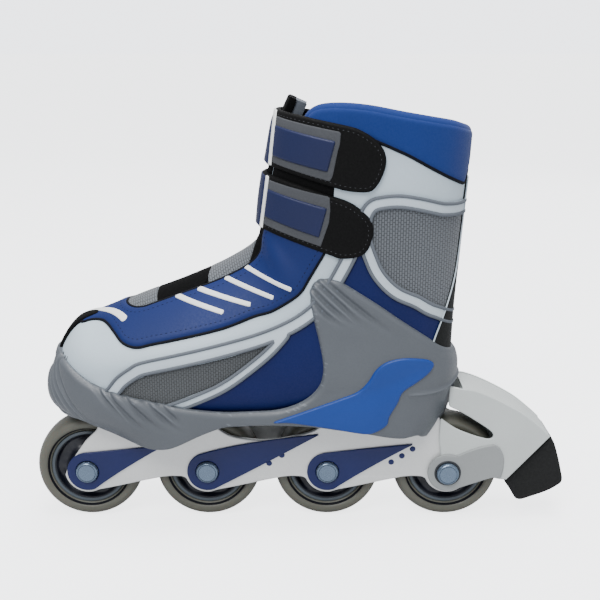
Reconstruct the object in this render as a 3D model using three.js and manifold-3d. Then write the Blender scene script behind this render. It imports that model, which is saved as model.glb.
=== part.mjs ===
// Left inline skate: soft boot with two hook-and-loop straps, plastic base shell, alloy frame,
// four wheels on sealed bearings and a bolted heel brake.
// Millimetres, +Z up. X runs from the toe (-X) to the heel (+X), Y from the outer side (-Y) to the
// inner side (+Y). The wheels stand on z = 0.
import * as THREE from 'three';
import { mergeVertices } from 'three/addons/utils/BufferGeometryUtils.js';
import Module from 'manifold-3d';

const wasm = await Module();
wasm.setup();

// ---- Driving dimensions ---------------------------------------------------------------------

const GAP = 0.3; // assembly clearance between neighbouring pieces

// Wheels and bearings
const WHEEL_COUNT = 4;
const WHEEL_PITCH = 81;
const WHEEL_R = 36;
const WHEEL_W = 24;
const TYRE_INNER_R = 25.6;
const TREAD_FLAT = 2.5; // half width of the flat band in the middle of the tread
const BEARING_OD = 22;
const BEARING_W = 7;
const BEARING_ID = 8;
const BEARING_SPACING = 10.3; // between the two bearings of a wheel
const RACE_T = 2.5; // wall of the inner race
const OUTER_RACE_T = 2;
const SHIELD_T = 0.8; // closes the outer race on its outward side
const RACE_GAP = 0.4; // between shield and inner race, and from the outer race to the bearing's ends
const HUB_RIM_W = 8; // half width of the hub's rim, which the tyre is moulded over
const HUB_LIP = 1.8; // inward lip of the hub between its bearings
const HUB_SEAT_T = 2.7;
const SPACER_T = 1.5;

// Frame
const PLATE_IN = 13.2; // half distance between the side plates
const PLATE_T = 3.8;
const DECK_T = 3;
const WHEEL_TOP_ROOM = 2; // between a tyre and the deck above it
const LOBE_R = 15.5; // round end of the plate at each axle
const INLAY_T = 1.3;
const INLAY_R = 13.6;
const HEAD_R = 7.5;
const HEAD_T = 3.7;
const HEAD_EDGE = 1.3;
const SLEEVE_Y = 6; // where the axle screw's sleeve begins
const THREAD_R = 2.6;
const BOSS_WALL = 2.2;
const MOUNT_BOLT_R = 3;
const MOUNT_HEAD_R = 5;
const MOUNT_HEAD_T = 3;

// Brake
const BRACKET_T = 2.6;
const PAD_HALF_W = 15;
const PAD_SCREW_R = 2.9;
const PAD_SCREW_HEAD_R = 5;
const PAD_SCREW_HEAD_T = 3.2;
const BRACKET_LOBE_R = 13.5;
const PAD_SCREW_DEPTH = 16; // in the pad
const PAD_SCREW_SEAT = 15; // from the pad's face to the head

// Base shell
const SHELL_T = 3.6;
const FLOOR_T = 2.4;
const SKIRT_T = 3;
const ACCENT_T = 1.4;

// Boot
const BOOT_LENGTH = 268;
const BOOT_HEIGHT = 200;
const BOOT_WIDTH = 87;
const BOOT_WALL = 4;
const HEEL_PAST_AXLE = 7.5; // the boot's back behind the rear axle
const THROAT_HALF_W = 15;
const TONGUE_T = 8;
const TONGUE_PROUD = 5; // how far the tongue stands above the cuff
const INSOLE_T = 4;
const STRAP_T = 2.8;
const STRAP_SPLIT_Y = -26; // the flap of each strap turns here
const BACKSTAY_T = 2;
const BACKSTAY_HALF_W = 12;

// Place of the model: the origin is under the middle of its box
const PAD_REACH = 80.6; // the brake pad's rear end behind the rear axle
const ORIGIN_X = (PAD_REACH - WHEEL_R) / 2;

// ---- Derived levels -------------------------------------------------------------------------

const AXLE_Z = WHEEL_R;
const AXLE_X = Array.from({ length: WHEEL_COUNT }, (_, i) => (i - (WHEEL_COUNT - 1) / 2) * WHEEL_PITCH);
const PLATE_OUT = PLATE_IN + PLATE_T;
const DECK_LOW = 2 * WHEEL_R + WHEEL_TOP_ROOM;
const DECK_TOP = DECK_LOW + DECK_T;
const FLOOR_LOW = DECK_TOP + GAP;
const SOLE_Z = FLOOR_LOW + FLOOR_T + GAP;
const BEARING_Y = BEARING_SPACING / 2;
const BEARING_END = BEARING_Y + BEARING_W;
const FIRST = AXLE_X[0];
const LAST = AXLE_X[WHEEL_COUNT - 1];
const FAR = 400; // longer than anything that is cut

// ---- Solids ---------------------------------------------------------------------------------

function toSolid(geometry) {
  const g = geometry.clone();
  g.deleteAttribute('normal');
  g.deleteAttribute('uv');
  const m = mergeVertices(g, 1e-4);
  const vertProperties = new Float32Array(m.attributes.position.array);
  const triVerts = [];
  const index = m.index.array;
  for (let i = 0; i < index.length; i += 3) {
    const [a, b, c] = [index[i], index[i + 1], index[i + 2]];
    if (a !== b && b !== c && c !== a) triVerts.push(a, b, c);
  }
  const mesh = new wasm.Mesh({ numProp: 3, vertProperties, triVerts: new Uint32Array(triVerts) });
  return new wasm.Manifold(mesh);
}

function toGeometry(solid) {
  const mesh = solid.getMesh();
  const g = new THREE.BufferGeometry();
  g.setAttribute('position', new THREE.BufferAttribute(new Float32Array(mesh.vertProperties), 3));
  g.setIndex(new THREE.BufferAttribute(new Uint32Array(mesh.triVerts), 1));
  return g;
}

// Extrudes an outline drawn in X and Z from y0 to y1.
function prism(shape, y0, y1, curveSegments = 7) {
  const g = new THREE.ExtrudeGeometry(shape, { depth: y1 - y0, bevelEnabled: false, curveSegments });
  g.rotateX(Math.PI / 2);
  g.translate(0, y1, 0);
  return toSolid(g);
}

function outline(points) {
  return new THREE.Shape(points.map(([x, z]) => new THREE.Vector2(x, z)));
}

function block(x0, x1, y0, y1, z0, z1) {
  const g = new THREE.BoxGeometry(x1 - x0, y1 - y0, z1 - z0);
  g.translate((x0 + x1) / 2, (y0 + y1) / 2, (z0 + z1) / 2);
  return toSolid(g);
}

// A turned piece about the Y axis. The profile is a list of [radius, y] that closes on itself
// or starts and ends on the axis.
function turned(profile, segments) {
  const points = profile.map(([r, y]) => new THREE.Vector2(r, y));
  if (profile[0][0] > 0) points.push(points[0].clone());
  const g = new THREE.LatheGeometry(points, segments, Math.PI / segments);
  return toSolid(g);
}

function rod(r, y0, y1, segments = 12) {
  return turned([[0, y0], [r, y0], [r, y1], [0, y1]], segments);
}

function sum(solids) {
  return solids.reduce((a, b) => a.add(b));
}

// ---- Boot form ------------------------------------------------------------------------------

// Each ring of the boot is a closed section from a point on its front or top line to a point on
// its sole or back line: [front x, front z, back x, back z, half width, sideways shift,
// front roundness, back roundness]. Heights are above the sole of a boot of BASE size.
const BASE_LENGTH = 268;
const BASE_HEEL_X = 129;
const BASE_HEIGHT = 200;
const BASE_WIDTH = 87;
const TOE_TIP = [-139, 20, 5];
const RINGS = [
  [-138.5, 34, -137, 6, 15, 5, 0.85, 0.6],
  [-134, 47, -131, 1, 25, 5, 0.85, 0.5],
  [-124, 61, -120, 0, 33, 4, 0.95, 0.45],
  [-106, 68.5, -104, 0, 38.5, 2.5, 1.1, 0.45],
  [-82, 76.5, -82, 0, 42, 1, 1.3, 0.45],
  [-54, 86.5, -54, 0, 43.5, 0, 1.35, 0.45],
  [-30, 97, -24, 0, 42, 0, 1.35, 0.45],
  [-13, 106.5, 8, 0, 39.5, 0, 1.25, 0.45],
  [-5.5, 113, 42, 0, 38, 0, 1.05, 0.5],
  [-3, 121, 78, 0.5, 37, 0, 0.8, 0.55],
  [-2, 130, 106, 4, 36.5, 0, 0.8, 0.65],
  [-1, 140, 119, 18, 36.5, 0, 0.8, 0.7],
  [1, 153, 120.5, 42, 37, 0, 0.8, 0.75],
  [4, 168, 121.5, 72, 38, 0, 0.8, 0.75],
  [6.5, 182, 124, 108, 39.5, 0, 0.8, 0.75],
  [9, 193, 127, 150, 40.5, 0, 0.8, 0.75],
  [12, 200, 129, 185, 41, 0, 0.8, 0.75],
];
const RING_POINTS = 20;

const bootX = (x) => LAST + HEEL_PAST_AXLE + ((x - BASE_HEEL_X) * BOOT_LENGTH) / BASE_LENGTH;
const bootZ = (z) => SOLE_Z + (z * BOOT_HEIGHT) / BASE_HEIGHT;
const bootY = (y) => (y * BOOT_WIDTH) / BASE_WIDTH;
const bootOutline = (points) => outline(points.map(([x, z]) => [bootX(x), bootZ(z)]));

function ringPoint(k, j) {
  const [fx, fz, bx, bz, halfWidth, shift, roundFront, roundBack] = RINGS[k];
  const angle = (j * 2 * Math.PI) / RING_POINTS;
  const c = Math.cos(angle);
  const s = Math.sin(angle);
  const e = c > 0 ? roundFront : roundBack;
  const along = 0.5 * (1 - Math.sign(c) * Math.abs(c) ** e);
  const y = shift + halfWidth * Math.sign(s) * Math.abs(s) ** e;
  return new THREE.Vector3(bootX(fx + along * (bx - fx)), bootY(y), bootZ(fz + along * (bz - fz)));
}

// The boot's outer form, grown by an offset and with its top drawn up by topExtra.
function bootForm(grow, topExtra = 0) {
  const positions = [];
  const last = RINGS.length - 1;
  for (let k = 0; k <= last; k += 1) {
    for (let j = 0; j < RING_POINTS; j += 1) {
      const p = ringPoint(k, j);
      const alongBoot = ringPoint(Math.min(k + 1, last), j).sub(ringPoint(Math.max(k - 1, 0), j));
      const around = ringPoint(k, j + 1).sub(ringPoint(k, j - 1));
      const normal = alongBoot.cross(around).normalize();
      positions.push(p.addScaledVector(normal, grow));
    }
  }
  let rings = last + 1;
  if (topExtra > 0) {
    for (let j = 0; j < RING_POINTS; j += 1) {
      const p = positions[last * RING_POINTS + j].clone();
      positions.push(p.setZ(p.z + topExtra));
    }
    rings += 1;
  }
  const tip = positions.length;
  positions.push(new THREE.Vector3(bootX(TOE_TIP[0]) - grow, bootY(TOE_TIP[2]), bootZ(TOE_TIP[1])));
  const top = positions.length;
  const rim = positions.slice((rings - 1) * RING_POINTS, rings * RING_POINTS);
  const centre = rim.reduce((a, p) => a.add(p), new THREE.Vector3()).divideScalar(RING_POINTS);
  positions.push(centre);
  const index = [];
  const at = (k, j) => k * RING_POINTS + (j % RING_POINTS);
  for (let j = 0; j < RING_POINTS; j += 1) {
    index.push(tip, at(0, j + 1), at(0, j));
    index.push(top, at(rings - 1, j), at(rings - 1, j + 1));
    for (let k = 0; k < rings - 1; k += 1) {
      index.push(at(k, j), at(k, j + 1), at(k + 1, j + 1));
      index.push(at(k, j), at(k + 1, j + 1), at(k + 1, j));
    }
  }
  const g = new THREE.BufferGeometry();
  g.setAttribute('position', new THREE.Float32BufferAttribute(positions.flatMap((p) => p.toArray()), 3));
  g.setIndex(index);
  const solid = toSolid(g);
  return solid.volume() > 0 ? solid : toSolid(flipped(g));
}

function flipped(geometry) {
  const index = Array.from(geometry.index.array);
  for (let i = 0; i < index.length; i += 3) [index[i], index[i + 1]] = [index[i + 1], index[i]];
  const g = geometry.clone();
  g.setIndex(index);
  return g;
}

const ABOVE = 40; // carries a cutting form past the top of what it cuts

// A skin lying on the boot, from inside to outside above its surface.
function bootSkin(inside, outside, topExtra = 0) {
  return bootForm(outside, topExtra).subtract(bootForm(inside, topExtra + ABOVE));
}

// ---- Scene ----------------------------------------------------------------------------------

const skate = new THREE.Group();
skate.position.x = -ORIGIN_X;

const FINISH = {
  shell: { color: 0x7d8186, roughness: 0.55, metalness: 0 },
  accent: { color: 0x3c6caf, roughness: 0.4, metalness: 0 },
  upper: { color: 0xb4bcc4, roughness: 0.7, metalness: 0 },
  lining: { color: 0x3a3b3d, roughness: 0.9, metalness: 0 },
  strap: { color: 0x233464, roughness: 0.6, metalness: 0 },
  frame: { color: 0xcdcfcd, roughness: 0.3, metalness: 0.9 },
  inlay: { color: 0x233464, roughness: 0.35, metalness: 0 },
  steel: { color: 0x9fa8b0, roughness: 0.25, metalness: 1 },
  tyre: { color: 0x7a7a70, roughness: 0.5, metalness: 0 },
  hub: { color: 0x1d2a4d, roughness: 0.4, metalness: 0 },
  bracket: { color: 0xa9adb2, roughness: 0.5, metalness: 0 },
  rubber: { color: 0x323333, roughness: 0.8, metalness: 0 },
};

function place(name, solid, finish, x = 0, z = 0) {
  const mesh = new THREE.Mesh(toGeometry(solid), new THREE.MeshStandardMaterial(FINISH[finish]));
  mesh.name = name;
  mesh.position.set(x, 0, z);
  skate.add(mesh);
}

// ---- Wheels ---------------------------------------------------------------------------------

const HUB_R = TYRE_INNER_R - GAP;

function tyre() {
  const half = WHEEL_W / 2;
  const segments = 26;
  const outer = WHEEL_R / Math.cos(Math.PI / segments);
  const side = [[TYRE_INNER_R, HUB_RIM_W], [WHEEL_R - 7, half - 0.4], [WHEEL_R - 4, half]];
  const tread = [[WHEEL_R - 1.2, half * 0.55], [outer, TREAD_FLAT]];
  const upper = [...side, ...tread];
  const lower = upper.map(([r, y]) => [r, -y]).reverse();
  return turned([...lower, ...upper].reverse(), segments);
}

function hub() {
  const seat = BEARING_OD / 2 + GAP;
  const shoulder = BEARING_Y - GAP;
  const end = BEARING_END - GAP;
  const upper = [
    [seat - HUB_LIP, shoulder], [seat, shoulder], [seat, end], [seat + HUB_SEAT_T, end],
    [seat + HUB_SEAT_T + 0.5, HUB_RIM_W - 3], [HUB_R - 3.2, HUB_RIM_W / 2], [HUB_R - 2.6, HUB_RIM_W],
    [HUB_R, HUB_RIM_W],
  ];
  const lower = upper.map(([r, y]) => [r, -y]).reverse();
  return turned([...upper, ...lower].reverse(), 16);
}

function outerRace(side) {
  const r = BEARING_OD / 2;
  const wall = r - OUTER_RACE_T;
  const hole = BEARING_ID / 2 + RACE_T + RACE_GAP;
  const y0 = BEARING_Y + RACE_GAP;
  const y1 = BEARING_END - RACE_GAP;
  const shield = y1 - SHIELD_T;
  const profile = [[hole, shield], [hole, y1], [r, y1], [r, y0], [wall, y0], [wall, shield]];
  return turned(mirrored(profile, side), 12);
}

function innerRace(side) {
  const bore = BEARING_ID / 2;
  const r = bore + RACE_T;
  const profile = [[bore, BEARING_Y], [bore, BEARING_END], [r, BEARING_END], [r, BEARING_Y]];
  return turned(mirrored(profile, side), 12);
}

// Puts a profile on the side of the wheel that the sign gives, keeping its faces outward.
function mirrored(profile, side) {
  const moved = profile.map(([r, y]) => [r, side * y]);
  const area = moved.reduce((a, [r, y], i) => {
    const [r2, y2] = moved[(i + 1) % moved.length];
    return a + r * y2 - r2 * y;
  }, 0);
  return area > 0 ? moved : moved.reverse();
}

function spacer() {
  const y = BEARING_Y - GAP;
  const bore = BEARING_ID / 2;
  const r = bore + SPACER_T;
  return turned(mirrored([[bore, -y], [r, -y], [r, y], [bore, y]], 1), 12);
}

// The axle is a bolt from the outer side and a sleeve screw from the inner side.
function axleBolt(seatY) {
  const shank = BEARING_ID / 2 - GAP;
  const head = seatY + GAP;
  const face = head + HEAD_T;
  const profile = [
    [0, -face], [HEAD_R - HEAD_EDGE, -face], [HEAD_R, HEAD_EDGE - face], [HEAD_R, -head], [shank, -head],
    [shank, SLEEVE_Y - GAP], [THREAD_R, SLEEVE_Y - GAP], [THREAD_R, PLATE_OUT], [0, PLATE_OUT],
  ];
  return turned(profile, 12);
}

function axleScrew(seatY) {
  const shank = BEARING_ID / 2 - GAP;
  const head = seatY + GAP;
  const bore = THREAD_R + GAP;
  const face = head + HEAD_T;
  const profile = [
    [0, PLATE_OUT + GAP], [bore, PLATE_OUT + GAP], [bore, SLEEVE_Y], [shank, SLEEVE_Y], [shank, head],
    [HEAD_R, head], [HEAD_R, face - HEAD_EDGE], [HEAD_R - HEAD_EDGE, face], [0, face],
  ];
  return turned(profile, 12);
}

for (let i = 0; i < WHEEL_COUNT; i += 1) {
  const n = i + 1;
  const x = AXLE_X[i];
  const seat = PLATE_OUT + (i === WHEEL_COUNT - 1 ? GAP + BRACKET_T : 0);
  place(`tyre_${n}`, tyre(), 'tyre', x, AXLE_Z);
  place(`hub_${n}`, hub(), 'hub', x, AXLE_Z);
  place(`outer_race_${n}_left`, outerRace(-1), 'steel', x, AXLE_Z);
  place(`outer_race_${n}_right`, outerRace(1), 'steel', x, AXLE_Z);
  place(`inner_race_${n}_left`, innerRace(-1), 'steel', x, AXLE_Z);
  place(`inner_race_${n}_right`, innerRace(1), 'steel', x, AXLE_Z);
  place(`spacer_${n}`, spacer(), 'steel', x, AXLE_Z);
  place(`axle_bolt_${n}`, axleBolt(seat), 'steel', x, AXLE_Z);
  place(`axle_screw_${n}`, axleScrew(seat), 'steel', x, AXLE_Z);
}

// ---- Frame ----------------------------------------------------------------------------------

const MOUNT_BOLT_X = [(AXLE_X[0] + AXLE_X[1]) / 2, (AXLE_X[WHEEL_COUNT - 2] + AXLE_X[WHEEL_COUNT - 1]) / 2];
const TOWER_IN = [AXLE_X[1] - 1, AXLE_X[WHEEL_COUNT - 2] + 1]; // where the deck ends beside the window

function plateShape() {
  const s = new THREE.Shape();
  s.moveTo(FIRST - LOBE_R, AXLE_Z);
  s.lineTo(FIRST - 8, AXLE_Z + 11.5);
  s.lineTo(FIRST - 0.6, AXLE_Z + 21.4);
  s.lineTo(FIRST + 8, DECK_LOW - 6);
  s.lineTo(FIRST + 11, DECK_TOP);
  s.lineTo(TOWER_IN[0], DECK_TOP);
  s.bezierCurveTo(TOWER_IN[0] + 14, AXLE_Z + 18, TOWER_IN[1] - 28, AXLE_Z + 18, TOWER_IN[1], DECK_TOP);
  s.lineTo(LAST - 8, DECK_TOP);
  s.lineTo(LAST + 3, AXLE_Z + 22);
  s.lineTo(LAST + LOBE_R, AXLE_Z);
  for (let i = WHEEL_COUNT - 1; i > 0; i -= 1) {
    s.lineTo(AXLE_X[i], AXLE_Z - 8);
    s.lineTo(AXLE_X[i] - LOBE_R - 1, AXLE_Z);
    s.lineTo(AXLE_X[i] - LOBE_R - 5, AXLE_Z - 3.6);
    s.lineTo(AXLE_X[i - 1] + 3, AXLE_Z - LOBE_R + 0.4);
  }
  s.closePath();
  return s;
}

function frameSolid() {
  const lobes = AXLE_X.map((x) => rod(LOBE_R, -PLATE_OUT, PLATE_OUT, 18).translate(x, 0, AXLE_Z));
  const body = sum([prism(plateShape(), -PLATE_OUT, PLATE_OUT), ...lobes]);
  const channel = block(-FAR, FAR, -PLATE_IN, PLATE_IN, 0, DECK_LOW);
  const between = block(TOWER_IN[0] + 2, TOWER_IN[1] - 2, -PLATE_IN, PLATE_IN, 0, FAR);
  const bossEnd = BEARING_END + GAP;
  const bosses = AXLE_X.flatMap((x) => [-1, 1].map((side) => {
    const ends = side < 0 ? [-PLATE_IN - 1, -bossEnd] : [bossEnd, PLATE_IN + 1];
    return rod(BEARING_ID / 2 + BOSS_WALL, ends[0], ends[1]).translate(x, 0, AXLE_Z);
  }));
  const holes = AXLE_X.map((x) => rod(BEARING_ID / 2, -FAR / 2, FAR / 2).translate(x, 0, AXLE_Z));
  const bolts = MOUNT_BOLT_X.map((x) => mountHole(x));
  return sum([body.subtract(channel).subtract(between), ...bosses]).subtract(sum([...holes, ...bolts]));
}

function upright(r, z0, z1, x, segments = 12) {
  return rod(r, -z1, -z0, segments).rotate(-90, 0, 0).translate(x, 0, 0);
}

const mountHole = (x) => upright(MOUNT_BOLT_R + GAP, DECK_LOW - 10, SOLE_Z + 20, x);

function mountBolt(x) {
  const head = upright(MOUNT_HEAD_R, DECK_LOW - GAP - MOUNT_HEAD_T, DECK_LOW - GAP, x);
  const shank = upright(MOUNT_BOLT_R, DECK_LOW - GAP - 0.5, SOLE_Z - GAP, x);
  return head.add(shank);
}

place('frame', frameSolid(), 'frame');
MOUNT_BOLT_X.forEach((x, i) => place(`frame_bolt_${i + 1}`, mountBolt(x), 'steel'));

// Teardrop inlays sweep back and up from the first three axles.
const INLAY_TIPS = [[52, 19], [75, 27], [57, 20]];

function inlay(i, side) {
  const [dx, dz] = INLAY_TIPS[i];
  const s = new THREE.Shape();
  s.moveTo(dx, dz);
  s.quadraticCurveTo(dx * 0.35, dz * 0.82, -2, INLAY_R);
  s.absarc(0, 0, INLAY_R, Math.PI / 2 + 0.15, Math.PI * 1.5 + 0.35, false);
  s.quadraticCurveTo(dx * 0.45, dz * 0.1, dx, dz - 0.6);
  s.closePath();
  const y0 = PLATE_OUT + GAP;
  const ends = side < 0 ? [-y0 - INLAY_T, -y0] : [y0, y0 + INLAY_T];
  const hole = rod(HEAD_R + GAP, -FAR / 2, FAR / 2, 14);
  return prism(s, ends[0], ends[1]).subtract(hole);
}

for (let i = 0; i < WHEEL_COUNT - 1; i += 1) {
  place(`inlay_${i + 1}_left`, inlay(i, -1), 'inlay', AXLE_X[i], AXLE_Z);
  place(`inlay_${i + 1}_right`, inlay(i, 1), 'inlay', AXLE_X[i], AXLE_Z);
}

// ---- Brake ----------------------------------------------------------------------------------

// Outlines are given from the rear axle.
const fromRear = (points) => outline(points.map(([x, z]) => [LAST + x, AXLE_Z + z]));
const BRACKET_IN = PLATE_OUT + GAP;
const BRACKET_OUT = BRACKET_IN + BRACKET_T;
const PAD_FACE = [[40, -6], [68.2, 25.2]]; // the line on which the pad meets its bracket
const PAD_SLOPE = Math.atan2(PAD_FACE[1][1] - PAD_FACE[0][1], PAD_FACE[1][0] - PAD_FACE[0][0]);

function bracket() {
  const hood = fromRear([
    [9.6, 59.4], [14, 58.8], [23.4, 55.6], [36, 49.4], [50, 41.4], [62, 31.6], [68, 25.7], PAD_FACE[0],
    [29.3, -4.4], [12, -10.4], [3, -12], [-4, -8], [-6, 8], [-2, 18], [8, 24],
  ]);
  const lobe = rod(BRACKET_LOBE_R, -BRACKET_OUT, BRACKET_OUT, 20).translate(LAST, 0, AXLE_Z);
  const inside = fromRear([
    [-40, -60], [-40, 55], [9, 55], [22, 51], [36, 44.8], [49, 37], [54, 31], [35, 8], [WHEEL_R + 3, -60],
  ]);
  const window = fromRear([
    [-5, 51], [5.7, 44.1], [17.1, 37.2], [25.8, 31.2], [29, 27.4], [27.6, 24.8], [19.5, 26.4],
    [10, 30], [-5, 38],
  ]);
  const hole = rod(BEARING_ID / 2, -FAR / 2, FAR / 2).translate(LAST, 0, AXLE_Z);
  const wheelRoom = rod(WHEEL_R + WHEEL_TOP_ROOM, -BRACKET_IN, BRACKET_IN, 32).translate(LAST, 0, AXLE_Z);
  const solid = prism(hood, -BRACKET_OUT, BRACKET_OUT).add(lobe);
  return solid
    .subtract(prism(inside, -BRACKET_IN, BRACKET_IN))
    .subtract(wheelRoom)
    .subtract(prism(window, -FAR / 2, FAR / 2))
    .subtract(hole)
    .subtract(onScrewAxis(PAD_SCREW_R + GAP, -1, PAD_SCREW_SEAT + 1))
    .subtract(onScrewAxis(PAD_SCREW_HEAD_R + GAP, PAD_SCREW_SEAT, PAD_SCREW_SEAT + 20));
}

function pad() {
  const shape = fromRear([
    PAD_FACE[0], PAD_FACE[1], [72, 20], [76.9, 7], [PAD_REACH, -7], [79.4, -10.5], [69, -17.5],
    [53.5, -22.5], [49.4, -21], [40.5, -9],
  ]);
  return prism(shape, -PAD_HALF_W, PAD_HALF_W)
    .translate(Math.sin(PAD_SLOPE) * GAP, 0, -Math.cos(PAD_SLOPE) * GAP)
    .subtract(onScrewAxis(PAD_SCREW_R + GAP, -PAD_SCREW_DEPTH - GAP, 1));
}

// A round body on the pad screw's axis, which runs square to the pad's face. Its ends are
// measured from that face towards the wheel.
function onScrewAxis(r, from, to) {
  const midX = LAST + (PAD_FACE[0][0] + PAD_FACE[1][0]) / 2;
  const midZ = AXLE_Z + (PAD_FACE[0][1] + PAD_FACE[1][1]) / 2;
  return rod(r, from, to)
    .rotate(90, 0, 0)
    .rotate(0, (-PAD_SLOPE * 180) / Math.PI, 0)
    .translate(midX, 0, midZ);
}

function padScrew() {
  const seat = PAD_SCREW_SEAT + GAP;
  const shank = onScrewAxis(PAD_SCREW_R, -PAD_SCREW_DEPTH, seat + 1);
  return shank.add(onScrewAxis(PAD_SCREW_HEAD_R, seat, seat + PAD_SCREW_HEAD_T));
}

place('brake_bracket', bracket(), 'bracket');
place('brake_pad', pad(), 'rubber');
place('pad_screw', padScrew(), 'steel');

// ---- Base shell -----------------------------------------------------------------------------

// The shell's edge seen from the side, above the sole: toe bumper, low waist, heel wings.
const SHELL_EDGE = [
  [-160, 34], [-128, 34], [-118, 28], [-104, 22.5], [-88, 18], [-62, 12.5], [-40, 8.5], [-10, 7.3],
  [8, 8], [22, 12], [32, 19], [36.8, 29], [36.4, 40], [33, 56], [29, 76], [28, 88], [32, 94],
  [38, 95], [47, 92], [72, 77], [88, 67], [106, 55], [135, 38], [135, -4],
  [112, -12], [94, -14], [65, -9], [35, -4], [10, -2.5], [-26, -2.5], [-38, -6], [-50, -11],
  [-62, -16], [-74, -18.5], [-84, -18], [-97, -13.5], [-112, -8], [-130, -1], [-160, 6],
];

// The shell's plan below the boot: half width along its length.
const SHELL_PLAN = [
  [-147, 4], [-143, 15], [-136, 26], [-124, 35], [-106, 41], [-82, 45], [-54, 46.5], [-28, 44.5],
  [0, 42], [40, 40.5], [76, 39], [100, 34], [114, 25], [122, 13], [125, 4],
];

const PLAN_REACH = 150; // the plan is drawn in by its inset in proportion to this
const SKIRT_TOP = SOLE_Z + 12;
const BELOW = 40; // carries the skirt past the shell's lower edge
const planShift = (x) => Math.max(0, Math.min(5, (-74 - x) / 12));

function skirt(inset, z0, z1) {
  const shrink = 1 - inset / PLAN_REACH;
  const edge = (x, w, sign) => [bootX(x * shrink), bootY(planShift(x) + sign * (w - inset))];
  const side = (sign) => SHELL_PLAN.map(([x, w]) => edge(x, w, sign));
  const shape = outline([...side(-1), ...side(1).reverse()]);
  const g = new THREE.ExtrudeGeometry(shape, { depth: z1 - z0, bevelEnabled: false });
  g.translate(0, 0, z0);
  return toSolid(g);
}

function shell() {
  const outer = bootForm(SHELL_T + GAP).add(skirt(0, SOLE_Z - BELOW, SKIRT_TOP));
  const under = skirt(SKIRT_T, SOLE_Z - BELOW - 20, FLOOR_LOW);
  const slot = block(-FAR, FAR, -PLATE_OUT - GAP, PLATE_OUT + GAP, 0, FLOOR_LOW);
  const bolts = sum(MOUNT_BOLT_X.map((x) => mountHole(x)));
  return prism(bootOutline(SHELL_EDGE), -FAR / 2, FAR / 2)
    .intersect(outer)
    .subtract(bootForm(GAP))
    .subtract(under)
    .subtract(slot)
    .subtract(bolts);
}

place('base_shell', shell(), 'shell');

// A raised insert on each side of the heel.
const ACCENT_EDGE = [
  [5, 0.9], [21, 7], [46, 15.9], [58.8, 21], [65.4, 27.7], [70, 35.4], [76.8, 41], [87.5, 43.4],
  [99.7, 42.3], [105.9, 40], [107.6, 36.6], [104, 31.6], [96, 25.9], [88, 20.4], [84.5, 12.6],
  [79.8, 4.3], [78, -2], [71, -6.8], [63.3, -8], [43.5, -4.4], [17, 0.2],
];

function accent(side) {
  const low = SHELL_T + 2 * GAP;
  const high = low + ACCENT_T;
  const inner = bootForm(low).add(skirt(-GAP, SOLE_Z - BELOW - 20, SKIRT_TOP + GAP));
  const outer = bootForm(high).add(skirt(-GAP - ACCENT_T, SOLE_Z - BELOW, SKIRT_TOP + GAP + ACCENT_T));
  const ends = side < 0 ? [-FAR / 2, -20] : [20, FAR / 2];
  return outer.subtract(inner).intersect(prism(bootOutline(ACCENT_EDGE), ends[0], ends[1]));
}

place('accent_left', accent(-1), 'accent');
place('accent_right', accent(1), 'accent');

// ---- Boot -----------------------------------------------------------------------------------

const throat = (halfWidth) => prism(bootOutline([
  [-91, 45], [-91, 240], [45, 240], [45, 135], [15, 100], [-20, 78], [-60, 60],
]), -halfWidth, halfWidth);

function upper() {
  return bootForm(0)
    .subtract(bootForm(-BOOT_WALL, ABOVE))
    .subtract(throat(THROAT_HALF_W));
}

function tongue() {
  return bootSkin(-TONGUE_T, 0, TONGUE_PROUD).intersect(throat(THROAT_HALF_W - GAP));
}

function insole() {
  const low = SOLE_Z + BOOT_WALL + GAP;
  return bootForm(-BOOT_WALL - GAP).intersect(block(-FAR, FAR, -FAR, FAR, low, low + INSOLE_T));
}

function backstay() {
  const region = block(bootX(90), FAR, -BACKSTAY_HALF_W, BACKSTAY_HALF_W, bootZ(58), bootZ(152));
  return bootSkin(GAP, GAP + BACKSTAY_T).intersect(region);
}

const UPPER_STRAP = [
  [-30, 160], [3, 161.8], [40.2, 152.6], [49.2, 150.2], [60.6, 149.2], [66.6, 151], [71.3, 158.2],
  [73.5, 166.6], [71.6, 172.6], [66.7, 177.9], [58.9, 183.2], [48.8, 187.2], [11.3, 195.7], [-30, 199],
];
const LOWER_STRAP = [
  [-30, 123], [-3, 122.8], [35.6, 111.4], [46.6, 107.8], [56.4, 108.5], [62.5, 111.6], [66, 118.5],
  [67.1, 125.9], [65.2, 132.7], [59.6, 138.2], [52.3, 143.1], [40.2, 147.2], [6.2, 156.5], [-30, 157.5],
];

function strap(points, y0, y1) {
  return bootSkin(GAP, GAP + STRAP_T, TONGUE_PROUD).intersect(prism(bootOutline(points), y0, y1));
}

place('boot_upper', upper(), 'upper');
place('tongue', tongue(), 'lining');
place('insole', insole(), 'lining');
place('backstay', backstay(), 'rubber');
[['upper', UPPER_STRAP], ['lower', LOWER_STRAP]].forEach(([name, points]) => {
  place(`${name}_strap_flap`, strap(points, -FAR / 2, STRAP_SPLIT_Y), 'strap');
  place(`${name}_strap_band`, strap(points, STRAP_SPLIT_Y + GAP, FAR / 2), 'strap');
});

export default skate;
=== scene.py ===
import math
import bpy
import numpy as np
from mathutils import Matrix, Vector
from mathutils.bvhtree import BVHTree
from mathutils.geometry import tessellate_polygon


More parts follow.
